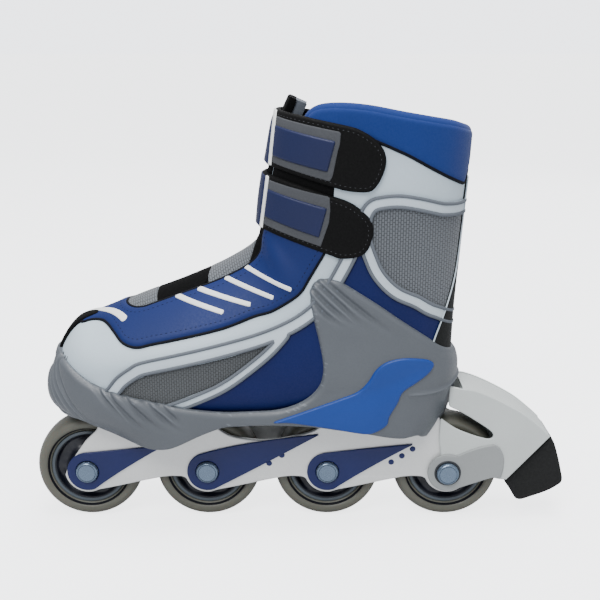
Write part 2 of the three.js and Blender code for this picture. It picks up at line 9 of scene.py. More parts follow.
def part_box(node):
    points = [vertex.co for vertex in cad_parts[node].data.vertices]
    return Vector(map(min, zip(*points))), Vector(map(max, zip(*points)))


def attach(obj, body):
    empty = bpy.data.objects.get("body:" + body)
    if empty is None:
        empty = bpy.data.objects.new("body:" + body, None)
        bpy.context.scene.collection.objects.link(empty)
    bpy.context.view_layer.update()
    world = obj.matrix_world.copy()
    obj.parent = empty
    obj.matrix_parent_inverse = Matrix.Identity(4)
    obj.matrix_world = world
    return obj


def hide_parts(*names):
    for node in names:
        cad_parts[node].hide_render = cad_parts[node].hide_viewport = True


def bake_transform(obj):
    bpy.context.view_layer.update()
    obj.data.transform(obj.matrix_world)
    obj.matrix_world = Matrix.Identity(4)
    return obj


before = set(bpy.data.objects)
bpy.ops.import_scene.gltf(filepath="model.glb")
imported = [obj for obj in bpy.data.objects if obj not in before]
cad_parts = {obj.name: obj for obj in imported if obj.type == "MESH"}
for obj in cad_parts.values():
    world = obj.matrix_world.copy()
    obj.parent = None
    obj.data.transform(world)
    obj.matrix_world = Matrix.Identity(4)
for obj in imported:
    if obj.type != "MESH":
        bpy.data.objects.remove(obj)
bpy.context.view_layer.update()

# Lengths are in millimetres, x from the middle of the wheelbase, z from the ground unless a comment says SOLE.
HUBS = [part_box(f"hub_{n}") for n in (1, 2, 3, 4)]
MID_X = 500 * sum(lo.x + hi.x for lo, hi in HUBS) / 4
AXLES = [500 * (lo.x + hi.x) - MID_X for lo, hi in HUBS]
AXLE_Z = 500 * (HUBS[0][0].z + HUBS[0][1].z)
WHEEL_R = 1000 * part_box("tyre_1")[1].z / 2
SOLE = 1000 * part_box("boot_upper")[0].z
FLOOR = 1000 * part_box("base_shell")[0].z
SKATE = "skate"
SIDES = (("left", -1), ("right", 1))


# ---- Numbers and fields ---------------------------------------------------------------------

def smooth(a, b, x):
    t = np.clip((x - a) / (b - a), 0, 1)
    return t * t * (3 - 2 * t)


def unit(v):
    return v / np.maximum(np.linalg.norm(v, axis=-1, keepdims=True), 1e-9)


def spline(points, per=6, closed=False):
    """A smooth line through the points, with per steps between two of them."""
    p = np.array(points, float)
    n = len(p)
    at = (lambda i: p[i % n]) if closed else (lambda i: p[min(max(i, 0), n - 1)])
    out = []
    for i in range(n if closed else n - 1):
        a, b, c, d = at(i - 1), at(i), at(i + 1), at(i + 2)
        for t in np.arange(per) / per:
            out.append(b + .5 * t * (c - a + t * (2 * a - 5 * b + 4 * c - d + t * (3 * (b - c) + d - a))))
    if not closed:
        out.append(p[-1])
    return np.array(out)


def line_distance(points, x, z, closed=False):
    """Distance in the side view from each (x, z) to a line."""
    p = np.array(points, float)
    if closed:
        p = np.vstack([p, p[:1]])
    best = np.full(len(x), 1e9)
    for a, b in zip(p[:-1], p[1:]):
        d = b - a
        t = np.clip(((x - a[0]) * d[0] + (z - a[1]) * d[1]) / max(d @ d, 1e-9), 0, 1)
        best = np.minimum(best, np.hypot(x - a[0] - t * d[0], z - a[1] - t * d[1]))
    return best


def inside(points, x, z):
    p = np.array(points, float)
    hit = np.zeros(len(x), bool)
    for a, b in zip(p, np.roll(p, -1, 0)):
        if a[1] != b[1]:
            cross = (a[1] > z) != (b[1] > z)
            hit ^= cross & (x < a[0] + (z - a[1]) * (b[0] - a[0]) / (b[1] - a[1]))
    return hit


def area_field(points, x, z):
    """Signed distance to an outline in the side view, negative inside."""
    return line_distance(points, x, z, True) * np.where(inside(points, x, z), -1, 1)


# ---- Surfaces -------------------------------------------------------------------------------

class Skin:
    """A surface as triangles over points that carry a normal and two lengths along the surface."""

    def __init__(self, points, normals, lengths, tris):
        self.p, self.n, self.uv, self.tris = points, normals, lengths, tris

    def raised(self, h):
        h = np.broadcast_to(h, len(self.p))
        return Skin(self.p + self.n * h[:, None], self.n, self.uv, self.tris)


def grid_tris(rows, cols, wrap):
    r = np.arange(rows - 1)[:, None]
    c = np.arange(cols if wrap else cols - 1)[None, :]
    d = (c + 1) % cols
    a, b, e, f = r * cols + c, r * cols + d, (r + 1) * cols + d, (r + 1) * cols + c
    return np.concatenate([np.stack([a, b, e], -1).reshape(-1, 3), np.stack([a, e, f], -1).reshape(-1, 3)])


def grid_normals(g, wrap):
    down = np.gradient(g, axis=0)
    across = np.roll(g, -1, 1) - np.roll(g, 1, 1) if wrap else np.gradient(g, axis=1)
    return unit(np.cross(down, across))


def grid_lengths(g):
    u = np.concatenate([np.zeros((len(g), 1)), np.cumsum(np.linalg.norm(np.diff(g, axis=1), axis=-1), 1)], 1)
    v = np.concatenate([np.zeros((1, g.shape[1])), np.cumsum(np.linalg.norm(np.diff(g, axis=0), axis=-1), 0)])
    return np.stack([u, v], -1)


def grid_skin(g, wrap=False, flip=False):
    n = (grid_normals(g, wrap) * (-1 if flip else 1)).reshape(-1, 3)
    t = grid_tris(g.shape[0], g.shape[1], wrap)
    p = g.reshape(-1, 3)
    facing = (np.cross(p[t[:, 1]] - p[t[:, 0]], p[t[:, 2]] - p[t[:, 0]]) * n[t[:, 0]]).sum()
    return Skin(p, n, grid_lengths(g).reshape(-1, 2), t if facing > 0 else t[:, ::-1])


def closed_skin(g):
    """The skin round a hollow form, with its normals outward."""
    skin = grid_skin(g, True)
    outward = ((skin.p - skin.p.mean(0)) * skin.n).sum() > 0
    return skin if outward else grid_skin(g, True, True)


def split(skin, f, level):
    """Cuts the triangles that the field crosses at level. Returns the skin, the field and the cut's segments."""
    att = np.hstack([skin.p, skin.n, skin.uv, f[:, None]])
    t = skin.tris
    above = f[t] > level
    count = above.sum(1)
    crossed = (count == 1) | (count == 2)
    whole, mixed = t[~crossed], t[crossed]
    if not len(mixed):
        return skin, f, np.zeros((0, 2), int)
    lone = np.argmax(above[crossed] == (count[crossed] == 1)[:, None], 1)
    i = np.arange(len(mixed))
    a, b, c = mixed[i, lone], mixed[i, (lone + 1) % 3], mixed[i, (lone + 2) % 3]
    pairs = np.sort(np.concatenate([np.stack([a, b], 1), np.stack([a, c], 1)]), 1)
    keys, back = np.unique(pairs, axis=0, return_inverse=True)
    back = back.ravel()
    fa, fb = f[keys[:, 0]], f[keys[:, 1]]
    w = np.clip((level - fa) / np.where(fa == fb, 1, fb - fa), 1e-4, 1 - 1e-4)[:, None]
    new = att[keys[:, 0]] * (1 - w) + att[keys[:, 1]] * w
    new[:, 8] = level
    ab, ac = back[:len(mixed)] + len(att), back[len(mixed):] + len(att)
    att = np.vstack([att, new])
    tris = np.vstack([whole, np.stack([a, ab, ac], 1), np.stack([ab, b, c], 1), np.stack([ab, c, ac], 1)])
    return Skin(att[:, :3], unit(att[:, 3:6]), att[:, 6:8], tris), att[:, 8], np.stack([ab, ac], 1)


def compact(skin, f, tris):
    used, back = np.unique(tris, return_inverse=True)
    return Skin(skin.p[used], skin.n[used], skin.uv[used], back.reshape(-1, 3)), f[used]


def clip(skin, f, levels=()):
    """The part of the skin where the field is below zero, with extra cuts at the levels."""
    near = f[skin.tris].min(1) < 0
    skin, f = compact(skin, f, skin.tris[near])
    for level in (0, *levels):
        skin, f, _ = split(skin, f, level)
    keep = f[skin.tris].mean(1) < 0
    return compact(skin, f, skin.tris[keep])


def contour(skin, f, level=0, step=1.0, least=12):
    """The lines on the skin where the field has that level, as lists of points and normals one step apart."""
    near = (f[skin.tris].min(1) <= level) & (f[skin.tris].max(1) >= level)
    skin, f = compact(skin, f, skin.tris[near])
    skin, f, segments = split(skin, f, level)
    links = {}
    for a, b in segments.tolist():
        links.setdefault(a, []).append(b)
        links.setdefault(b, []).append(a)
    lines, seen = [], set()
    for start in [v for v in links if len(links[v]) == 1] + list(links):
        if start in seen:
            continue
        chain = [start]
        seen.add(start)
        while True:
            following = [v for v in links[chain[-1]] if v not in seen]
            if not following:
                break
            chain.append(following[0])
            seen.add(following[0])
        if len(chain) > 2 and chain[0] in links[chain[-1]]:
            chain.append(chain[0])
        lines.append(even(skin.p[chain], skin.n[chain], step))
    return [line for line in lines if len(line[0]) * step >= least]


def even(p, n, step):
    """Points a step apart along a line, with their normals."""
    s = np.concatenate([[0], np.cumsum(np.linalg.norm(np.diff(p, axis=0), axis=1))])
    count = max(int(round(s[-1] / step)), 2)
    at = np.linspace(0, s[-1], count + 1)
    q = np.stack([np.interp(at, s, p[:, i]) for i in range(3)], 1)
    m = np.stack([np.interp(at, s, n[:, i]) for i in range(3)], 1)
    return q, unit(m)


def dome(f, rise, radius, sunk=.4):
    """Height of a panel whose rim is rounded over radius, from below the surface at the rim to rise."""
    u = np.clip(-f / radius, 0, 1)
    return -sunk + (rise + sunk) * np.sqrt(1 - (1 - u) ** 2)


# Cuts across a panel's rim, as shares of its radius.
RIM = (-.02, -.1, -.25, -.5, -.8)


# ---- Objects --------------------------------------------------------------------------------

def place(points):
    q = np.array(points, float).copy()
    q[:, 0] += MID_X
    return q * .001


def add_object(name, mesh, mat, body, angle=None):
    obj = bpy.data.objects.new(name, mesh)
    bpy.context.scene.collection.objects.link(obj)
    mesh.polygons.foreach_set("use_smooth", [True] * len(mesh.polygons))
    if angle:
        mesh.set_sharp_from_angle(angle=math.radians(angle))
    for m in (mat if isinstance(mat, list) else [mat]):
        mesh.materials.append(m)
    if body:
        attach(obj, body)
    return obj


def add_mesh(name, points, faces, mat, body=SKATE, lengths=None, angle=None):
    mesh = bpy.data.meshes.new(name)
    mesh.from_pydata(place(points).tolist(), [], faces if isinstance(faces, list) else faces.tolist())
    if lengths is not None:
        uv = mesh.uv_layers.new(name="lengths")
        index = np.zeros(len(mesh.loops), int)
        mesh.loops.foreach_get("vertex_index", index)
        uv.data.foreach_set("uv", (lengths[index] * .01).astype(np.float32).ravel())
    mesh.update()
    return add_object(name, mesh, mat, body, angle)


def add_skin(name, skin, mat, body=SKATE, angle=None):
    return add_mesh(name, skin.p, skin.tris, mat, body, skin.uv, angle)


def apply(obj, kind, **settings):
    """Adds a modifier and makes its result the object's mesh."""
    mod = obj.modifiers.new(kind.lower(), kind)
    for key, value in settings.items():
        setattr(mod, key, value)
    graph = bpy.context.evaluated_depsgraph_get()
    mesh = bpy.data.meshes.new_from_object(obj.evaluated_get(graph))
    obj.modifiers.clear()
    old, obj.data = obj.data, mesh
    bpy.data.meshes.remove(old)
    return obj


def panel(name, skin, f, rise, radius, mat, base=0, body=SKATE, slot=None, sunk=.4, flat=False):
    """A raised panel with a rounded rim on the part of the skin where the field is below zero."""
    cut, g = clip(skin, f, tuple(radius * r for r in RIM))
    if flat:
        cut.uv = cut.p[:, [2, 0]]
    return add_skin(name, cut.raised(base + dome(g, rise, radius, sunk)), mat, body)


def tube(name, lines, radius, mat, lift=0, sides=8, body=SKATE):
    """Round cords along lines on a surface."""
    points, faces, start = [], [], 0
    for p, n in lines:
        closed = np.linalg.norm(p[0] - p[-1]) < 1e-6
        if closed:
            p, n = p[:-1], n[:-1]
        d = unit(np.roll(p, -1, 0) - np.roll(p, 1, 0) if closed else np.gradient(p, axis=0))
        side = unit(np.cross(d, n))
        up = np.cross(side, d)
        size = np.full(len(p), float(radius))
        if not closed:
            size[0] = size[-1] = radius * .3
        for i in range(sides):
            a = 2 * math.pi * i / sides
            points.append(p + n * lift + (side * math.cos(a) + up * math.sin(a)) * size[:, None])
        total = len(p)
        for i in range(sides):
            for j in range(total if closed else total - 1):
                a, b = start + i * total, start + ((i + 1) % sides) * total
                m = (j + 1) % total
                faces.append([a + j, a + m, b + m, b + j])
        if not closed:
            faces.append([start + i * total for i in range(sides)])
            faces.append([start + i * total + total - 1 for i in reversed(range(sides))])
        start += sides * total
    return add_mesh(name, np.vstack(points), faces, mat, body)


def zigzag(lines, width):
    """Turns each line into a zigzag thread of that width."""
    out = []
    for p, n in lines:
        side = unit(np.cross(np.gradient(p, axis=0), n))
        sign = np.where(np.arange(len(p)) % 2, .5, -.5)[:, None]
        out.append((p + side * sign * width, n))
    return out


def dashes(lines):
    """Cuts lines into separate stitches, three points long with one left out between them."""
    return [(p[i:i + 3], n[i:i + 3]) for p, n in lines for i in range(0, len(p) - 3, 4)]


def lathe(name, profile, mat, centre, body, segments=72, angle=40, wave=None):
    """A turned piece about the Y axis. The profile is (radius, y) and closes on itself; wave bends its y."""
    a = np.arange(segments) * 2 * math.pi / segments
    points, faces, m = [], [], len(profile)
    for r, y in np.array(profile, float):
        yy = wave(r, y, a) if wave else np.full(segments, y)
        points.append(np.stack([r * np.sin(a), yy, r * np.cos(a)], 1))
    for i in range(m):
        k = (i + 1) % m
        for j in range(segments):
            j2 = (j + 1) % segments
            faces.append([i * segments + j, i * segments + j2, k * segments + j2, k * segments + j])
    mesh = bpy.data.meshes.new(name)
    mesh.from_pydata((np.vstack(points) * .001).tolist(), [], faces)
    mesh.update()
    obj = add_object(name, mesh, mat, None, angle)
    x, y, z = centre
    obj.location = ((x + MID_X) * .001, y * .001, z * .001)
    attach(obj, body)
    return obj


def rounded(profile, radius, steps=3):
    """Rounds the corners of a closed profile."""
    p = np.array(profile, float)
    out = []
    for i in range(len(p)):
        a, b, c = p[i - 1], p[i], p[(i + 1) % len(p)]
        la, lc = np.linalg.norm(a - b), np.linalg.norm(c - b)
        ra, rc = min(radius, .45 * la), min(radius, .45 * lc)
        s, e = b + (a - b) / la * ra, b + (c - b) / lc * rc
        for t in np.linspace(0, 1, steps + 1):
            out.append((1 - t) ** 2 * s + 2 * t * (1 - t) * b + t * t * e)
    return np.array(out)


def left_of(d):
    """Unit vectors square to the directions, on their left."""
    d = unit(d)
    return np.stack([-d[:, 1], d[:, 0]], 1)


def mirrored(profile, sign):
    """A (radius, y) profile for the left (-1) or the right side (1), with its outside kept outside."""
    return [(r, y * sign) for r, y in profile][::1 if sign < 0 else -1]


def plate(name, outlines, y0, y1, mat, bevel=.6, body=SKATE, slot=None, angle=35):
    """A plate with rounded edges from outlines in the side view. Inner outlines are holes."""
    turns = np.radians(np.linspace(0, 90, 4))
    steps = [(bevel * (1 - math.sin(a)), y0 + bevel * (1 - math.cos(a))) for a in turns]
    steps += [(bevel * (1 - math.cos(a)), y1 - bevel * (1 - math.sin(a))) for a in turns]
    points, faces, ends = [], [], {0: [], len(steps) - 1: []}
    for k, ring in enumerate(outlines):
        p = np.array(ring, float)
        p = p[np.linalg.norm(p - np.roll(p, 1, 0), axis=1) > .05]
        area = (p[:, 0] * np.roll(p[:, 1], -1) - np.roll(p[:, 0], -1) * p[:, 1]).sum()
        if (area > 0) != (k == 0):
            p = p[::-1]
        n = left_of(p - np.roll(p, 1, 0))
        m = n + np.roll(n, -1, 0)
        m /= np.maximum((m * m).sum(1, keepdims=True) / 2, .35)
        base = len(points)
        for inset, y in steps:
            q = p + m * inset
            points += np.column_stack([q[:, 0], np.full(len(q), y), q[:, 1]]).tolist()
        c = len(p)
        for i in range(len(steps) - 1):
            for j in range(c):
                a, b = base + i * c + j, base + i * c + (j + 1) % c
                faces.append([a, b, b + c, a + c])
        for i in ends:
            ends[i].append(range(base + i * c, base + (i + 1) * c))
    for i, rings in ends.items():
        index = [v for r in rings for v in r]
        flat = [[Vector((points[v][0], points[v][2], 0)) for v in r] for r in rings]
        for tri in tessellate_polygon(flat):
            a, b, c = (index[v] for v in tri)
            u, w = np.array(points[b]) - points[a], np.array(points[c]) - points[a]
            faces.append([a, b, c] if (np.cross(u, w)[1] < 0) == (i == 0) else [a, c, b])
    return add_mesh(name, np.array(points), faces, mat, body, angle=angle)


def arc(cx, cz, r, a0, a1, steps=24):
    a = np.radians(np.linspace(a0, a1, steps))
    return np.stack([cx + r * np.cos(a), cz + r * np.sin(a)], 1).tolist()


# ---- Materials ------------------------------------------------------------------------------

# A colour as it looks in the studio light, and the paint that looks so there.
SEEN = (0, 24, 38, 50, 66, 85, 105, 128, 150, 170, 190, 205, 255)
PAINT = (0, 5, 12, 20, 34, 50, 67, 88, 109, 134, 168, 196, 250)


def linear(rgb, gain=1.0):
    """A colour in linear light, from how it should look."""
    c = [np.interp(v, SEEN, PAINT) / 255 for v in rgb]
    c = [v / 12.92 if v <= .04045 else ((v + .055) / 1.055) ** 2.4 for v in c]
    return [float(min(v * gain, 1)) for v in c] + [1]


def new_node(tree, kind, **settings):
    node = tree.nodes.new(kind)
    for key, value in settings.items():
        if hasattr(node, key):
            setattr(node, key, value)
        else:
            node.inputs[key.replace("_", " ")].default_value = value
    return node


def blotches(tree, coords, scale, detail=3):
    node = new_node(tree, "ShaderNodeTexNoise", Scale=scale, Detail=detail)
    tree.links.new(coords, node.inputs["Vector"])
    return node.outputs["Fac"]


def mix_colours(tree, factor, a, b):
    node = new_node(tree, "ShaderNodeMix", data_type="RGBA")
    tree.links.new(factor, node.inputs["Factor"])
    for socket, value in ((node.inputs[6], a), (node.inputs[7], b)):
        if isinstance(value, list):
            socket.default_value = value
        else:
            tree.links.new(value, socket)
    return node.outputs[2]


def ramp(tree, value, low, high, out_low=0.0, out_high=1.0):
    node = new_node(tree, "ShaderNodeMapRange")
    for i, v in enumerate((low, high, out_low, out_high), 1):
        node.inputs[i].default_value = v
    tree.links.new(value, node.inputs[0])
    return node.outputs[0]


def grain_height(tree, object_coords, lengths, size):
    """Leather grain: small rounded cells with creases between them."""
    cells = new_node(tree, "ShaderNodeTexVoronoi", Scale=1000 / size, feature="SMOOTH_F1")
    tree.links.new(object_coords, cells.inputs["Vector"])
    return cells.outputs["Distance"], None


def plastic_height(tree, object_coords, lengths, size):
    """The fine even texture of a moulded surface."""
    return blotches(tree, object_coords, 1000 / size, 2), None


def brushed_height(tree, object_coords, lengths, size):
    stretch = new_node(tree, "ShaderNodeMapping")
    stretch.inputs["Scale"].default_value = (.05, 1, 1)
    tree.links.new(object_coords, stretch.inputs["Vector"])
    return blotches(tree, stretch.outputs[0], 1000 / size, 2), None


def knit_height(tree, object_coords, lengths, size):
    """Rows of short raised loops, each row half a loop along from the last."""
    rows = new_node(tree, "ShaderNodeTexBrick", offset=.5, Scale=100 / size)
    for key, value in (("Brick Width", 1.0), ("Row Height", .62), ("Mortar Size", .13),
                       ("Mortar Smooth", .9)):
        rows.inputs[key].default_value = value
    tree.links.new(lengths, rows.inputs["Vector"])
    gap = ramp(tree, rows.outputs["Fac"], 0, 1, 1, 0)
    return gap, gap


def weave_height(tree, object_coords, lengths, size):
    """Two crossing sets of fine threads."""
    heights = []
    for axis in ("X", "Y"):
        wave = new_node(tree, "ShaderNodeTexWave", bands_direction=axis, wave_profile="SIN",
                        Scale=100 / size / 3.2)
        wave.inputs["Distortion"].default_value = .4
        tree.links.new(lengths, wave.inputs["Vector"])
        heights.append(wave.outputs["Fac"])
    total = new_node(tree, "ShaderNodeMath", operation="MULTIPLY")
    tree.links.new(heights[0], total.inputs[0])
    tree.links.new(heights[1], total.inputs[1])
    return total.outputs[0], total.outputs[0]


def surface(name, rgb, rough, height=plastic_height, size=.5, depth=.05, spread=.1, patches=25, metallic=0.0,
            dark=None, edge_highlight=0.0, fleck=.06, **sockets):
    """A procedural surface: uneven colour and roughness, a relief, and for some paler convex edges, which are a
    painted highlight.
    """
    mat = bpy.data.materials.new(name)
    mat.use_nodes = True
    tree = mat.node_tree
    shader = tree.nodes["Principled BSDF"]
    coords = new_node(tree, "ShaderNodeTexCoord")
    uv = new_node(tree, "ShaderNodeUVMap", uv_map="lengths")
    relief, pattern = height(tree, coords.outputs["Object"], uv.outputs[0], size)
    wide = ramp(tree, blotches(tree, coords.outputs["Object"], patches), .3, .7)
    colour = mix_colours(tree, wide, linear(rgb, 1 - spread), linear(rgb, 1 + spread))
    specks = ramp(tree, blotches(tree, coords.outputs["Object"], 900, 2), .35, .65)
    colour = mix_colours(tree, ramp(tree, specks, 0, 1, 0, fleck), colour, linear(rgb, .5))
    if dark is not None and pattern is not None:
        colour = mix_colours(tree, pattern, linear(dark), colour)
    # Paler colour on convex edges, found by pointiness: a painted highlight along the edges.
    if edge_highlight:
        convexity = new_node(tree, "ShaderNodeNewGeometry")
        edge = ramp(tree, convexity.outputs["Pointiness"], .51, .56, 0, edge_highlight)
        colour = mix_colours(tree, edge, colour, linear([min(v + 45, 255) for v in rgb]))
    tree.links.new(colour, shader.inputs["Base Color"])
    tree.links.new(ramp(tree, specks, 0, 1, max(rough - .06, .02), min(rough + .06, 1)),
                   shader.inputs["Roughness"])
    bump = new_node(tree, "ShaderNodeBump", Strength=1.0, Distance=depth * .001)
    tree.links.new(relief, bump.inputs["Height"])
    tree.links.new(bump.outputs[0], shader.inputs["Normal"])
    shader.inputs["Metallic"].default_value = metallic
    for key, value in sockets.items():
        shader.inputs[key.replace("_", " ")].default_value = value
    return mat


MAT = {
    "leather": surface("white_leather", (196, 204, 212), .5, grain_height, 1.1, .05, .04, Coat_Weight=.1),
    "band": surface("band_leather", (200, 208, 216), .55, grain_height, .9, .06, .04),
    "blue": surface("blue_leather", (33, 62, 124), .55, grain_height, .9, .05, .08, Specular_IOR_Level=.25),
    "side": surface("blue_side_leather", (30, 52, 112), .6, grain_height, .9, .05, .08,
                    Specular_IOR_Level=.2),
    "collar": surface("collar_fabric", (46, 78, 146), .8, weave_height, .7, .06, .05, Sheen_Weight=.1,
                      Specular_IOR_Level=.2),
    "mesh": surface("knit_mesh", (134, 139, 145), .85, knit_height, 2.7, .45, .05, dark=(88, 92, 97),
                    Sheen_Weight=.2),
    "lens": surface("dark_knit_mesh", (112, 116, 119), .85, knit_height, 2.5, .45, .05, dark=(76, 80, 82),
                    Sheen_Weight=.2),
    "thread": surface("grey_thread", (122, 128, 136), .8, plastic_height, .3, .04),
    "edging": surface("grey_edging", (128, 134, 142), .85, weave_height, .5, .05, .05),
    "piping": surface("dark_piping", (22, 27, 44), .7, weave_height, .5, .04, Specular_IOR_Level=.15),
    "black": surface("black_fabric", (25, 25, 26), .9, weave_height, .6, .08, .1, Specular_IOR_Level=.12),
    "lining": surface("lining_fabric", (58, 60, 64), .9, knit_height, .9, .15, .1, dark=(34, 35, 38),
                      Sheen_Weight=.35),
    "stripe": surface("white_stripe", (236, 238, 236), .5, plastic_height, .5, .03, .03),
    "backstay": surface("backstay_rubber", (42, 45, 45), .7, plastic_height, .5, .05, .08,
                        Specular_IOR_Level=.2),
    "tab": surface("strap_tab", (21, 21, 22), .75, plastic_height, .7, .1, .1, Specular_IOR_Level=.15),
    "strap_grey": surface("strap_panel", (110, 112, 116), .85, weave_height, .8, .1, .05,
                          Specular_IOR_Level=.15),
    "strap_blue": surface("strap_inlay", (32, 51, 98), .5, plastic_height, .6, .05, .06,
                          Specular_IOR_Level=.35),
    # The shell, alloy, bracket and arm surfaces paint a paler highlight along their convex edges.
    "shell": surface("shell_plastic", (116, 121, 127), .46, plastic_height, .45, .02, .05, edge_highlight=.35),
    "accent": surface("accent_plastic", (46, 92, 166), .42, plastic_height, .45, .02, .05,
                      Specular_IOR_Level=.3),
    "frame": surface("satin_alloy", (218, 219, 218), .36, brushed_height, .25, .012, .03, metallic=.35,
                     edge_highlight=.2),
    "inlay": surface("inlay_plastic", (38, 55, 116), .4, plastic_height, .45, .015, .06,
                     Specular_IOR_Level=.35),
    "steel": surface("bolt_steel", (146, 160, 174), .3, brushed_height, .2, .01, .05, metallic=.75),
    # A dark ring round each axle head: a painted shadow.
    "seat_shadow": surface("shadow_ring", (64, 68, 74), .5, plastic_height, .3, .01),
    "tyre": surface("tyre_rubber", (124, 124, 114), .5, plastic_height, .6, .03, .07, Subsurface_Weight=.05),
    "hub": surface("hub_plastic", (34, 40, 56), .42, plastic_height, .45, .02, .08),
    "hub_ring": surface("hub_ring", (98, 108, 116), .4, plastic_height, .45, .02),
    "bracket": surface("bracket_plastic", (200, 203, 202), .45, plastic_height, .5, .02, .04, edge_highlight=.2),
    # The arm is the bracket's own plastic painted darker: painted shade on the arm's face.
    "arm": surface("bracket_arm_painted_shade", (172, 174, 174), .42, plastic_height, .5, .02, .04, edge_highlight=.3),
    "pad": surface("brake_rubber", (54, 55, 55), .8, plastic_height, .7, .08, .08, Specular_IOR_Level=.25),
}


# ---- Boot surface ---------------------------------------------------------------------------

# Sections of the boot: front x and z, back x and z, half width, sideways shift, front and back roundness.
# z is from SOLE.
RINGS = np.array([
    [-138.5, 34, -137, 6, 15, 5, .85, .6], [-134, 46, -131, 1, 25, 5, .85, .5],
    [-124, 57.8, -120, 0, 33, 4, .95, .45], [-106, 64.6, -104, 0, 38.5, 2.5, 1.1, .45],
    [-82, 75.6, -82, 0, 42, 1, 1.3, .45], [-54, 86.5, -54, 0, 43.5, 0, 1.35, .45],
    [-30, 97, -24, 0, 42, 0, 1.35, .45], [-13, 106.5, 8, 0, 39.5, 0, 1.25, .45],
    [-5.5, 113, 42, 0, 38, 0, 1.05, .5], [-3, 121, 78, .5, 37, 0, .8, .55],
    [-2, 130, 106, 4, 36.5, 0, .8, .65], [-1, 140, 119, 18, 36.5, 0, .8, .7],
    [1, 153, 120.5, 42, 37, 0, .8, .75], [4, 168, 121.5, 72, 38, 0, .8, .75],
    [6.5, 182, 124, 108, 39.5, 0, .8, .75], [9, 193, 127, 150, 40.5, 0, .8, .75],
    [12, 200, 129, 185, 41, 0, .8, .75],
])
ROWS_PER_RING, RING_COLS, TOP_ROWS = 18, 320, 8
CUFF_UP = 12.5


def ring_row(ring):
    """A section as evenly spaced points, from its front point round the inner side and back on the outer side."""
    fx, fz, bx, bz, half, shift, ef, eb = ring
    a = np.linspace(0, math.pi, 700)
    c, s = np.cos(a), np.sin(a)
    e = np.where(c > 0, ef, eb)
    along = .5 * (1 - np.sign(c) * np.abs(c) ** e)
    across = half * np.abs(s) ** e
    x, z = fx + along * (bx - fx), SOLE + fz + along * (bz - fz)
    way = np.concatenate([[0], np.cumsum(np.sqrt(np.diff(x) ** 2 + np.diff(across) ** 2 + np.diff(z) ** 2))])
    at = np.linspace(0, way[-1], RING_COLS // 2 + 1)
    x, z, across = (np.interp(at, way, v) for v in (x, z, across))
    inner = np.stack([x, shift + across, z], 1)
    outer = np.stack([x, shift - across, z], 1)[1:-1][::-1]
    return np.vstack([inner, outer])


def boot_skin():
    """The boot's outer surface, carried straight on above the last section for the cuff."""
    g = np.array([ring_row(r) for r in spline(RINGS, ROWS_PER_RING)])
    rise = np.linspace(0, CUFF_UP, TOP_ROWS)[1:, None, None]
    step = (g[-1] - g[-4]) / np.maximum((g[-1] - g[-4])[:, 2:3], 2)
    return closed_skin(np.concatenate([g, g[-1][None] + rise * step[None] * np.array([1, 0, 1])]))


BOOT = boot_skin()
THROAT_HALF, THROAT_FRONT = 15.0, -76.0
# The throat's reach in the side view, z from SOLE.
THROAT_UNDER = [(-95, 45), (-60, 60), (-20, 78), (15, 100), (45, 135), (45, 300), (-95, 300)]


# The cuff's top edge: a rounded front corner, level sides and a lower back. The inner side is lower.
CUFF_TOP = [(-60, 258), (20, 258), (23.6, 266), (26, 272.5), (29.8, 277), (36.4, 279.2), (49, 279.6),
            (63.9, 278.2), (82, 274.8), (100, 271.6), (115, 268.8), (124, 266.2), (150, 260), (150, 340),
            (-60, 340)]
INNER_DROP = 6


def cuff_field(p):
    """Negative above the cuff."""
    drop = INNER_DROP * smooth(-30, 36, p[:, 1])
    outline = CUFF_TOP[:1] + spline(CUFF_TOP[1:13], 5).tolist() + CUFF_TOP[13:]
    return area_field(outline, p[:, 0], p[:, 2] + drop)


def from_sole(points):
    return [(a, SOLE + b) for a, b in points]


def throat_field(p, half=THROAT_HALF):
    """Negative in the tongue's opening, which has a round front end."""
    x, y = p[:, 0], p[:, 1]
    wide = np.where(x < THROAT_FRONT, np.hypot(x - THROAT_FRONT, y), np.abs(y)) - half
    return np.maximum(wide, area_field(from_sole(THROAT_UNDER), x, p[:, 2]))


# Outlines of the upper's pieces in the side view. The toe stripe is seen from above.
VAMP_LOW = [(-136, 135.5), (-122.3, 137.6), (-116, 139.5), (-110, 140.6), (-105, 140.6), (-100.6, 138.9),
            (-96, 135.6), (-91, 131.6), (-85, 129.7), (-79.2, 129.8), (-72.2, 131.7), (-54.7, 135.7),
            (-26.7, 142.4), (-6.6, 149.9), (5.6, 153.8), (21, 163.9), (27.6, 173.8), (33.3, 183.6),
            (36.6, 189.4), (41.2, 198.9)]
LENS = [(-93, 99), (-79.3, 111), (-60, 117.4), (-40.9, 120.8), (-15.7, 127), (5.5, 134.6), (-1.8, 127),
        (-15.8, 116.7), (-31.7, 106.4), (-47.7, 99.6), (-61.9, 93.5), (-75, 90)]
BAND_HIGH = [(-101, 96), (-97, 101), (-91.5, 108), (-83, 114.5), (-76, 117.8), (-53, 123.4), (-28, 129.2),
             (-3, 136), (15.9, 143.8), (29.5, 153), (39, 164), (46, 176), (52, 188), (58, 202)]
BAND_LOW = [(-75, 86), (-59, 91.5), (-45, 97), (-27, 105.3), (-11, 116.5), (2.5, 127.8), (12, 138.5)]
SIDE = [(-90, 70), (-70, 84), (-59, 90), (-43, 96), (-24, 105), (-8, 117), (4.5, 128.6), (14, 138.5),
        (30, 148.5), (50, 140), (50, 70)]
ANKLE = [(67.7, 216.5), (72.6, 218.7), (83, 219.4), (95.4, 217.2), (108.6, 213.6), (150, 203), (150, 139),
         (111.4, 154.6), (97.2, 163.2), (84.2, 169.7), (74.6, 179.6), (69.5, 190.3), (66.3, 200), (65.6, 209)]
TRIANGLE = [(54, 196), (49, 180), (40, 168), (45, 120), (150, 100), (150, 160), (100, 175), (66, 205)]
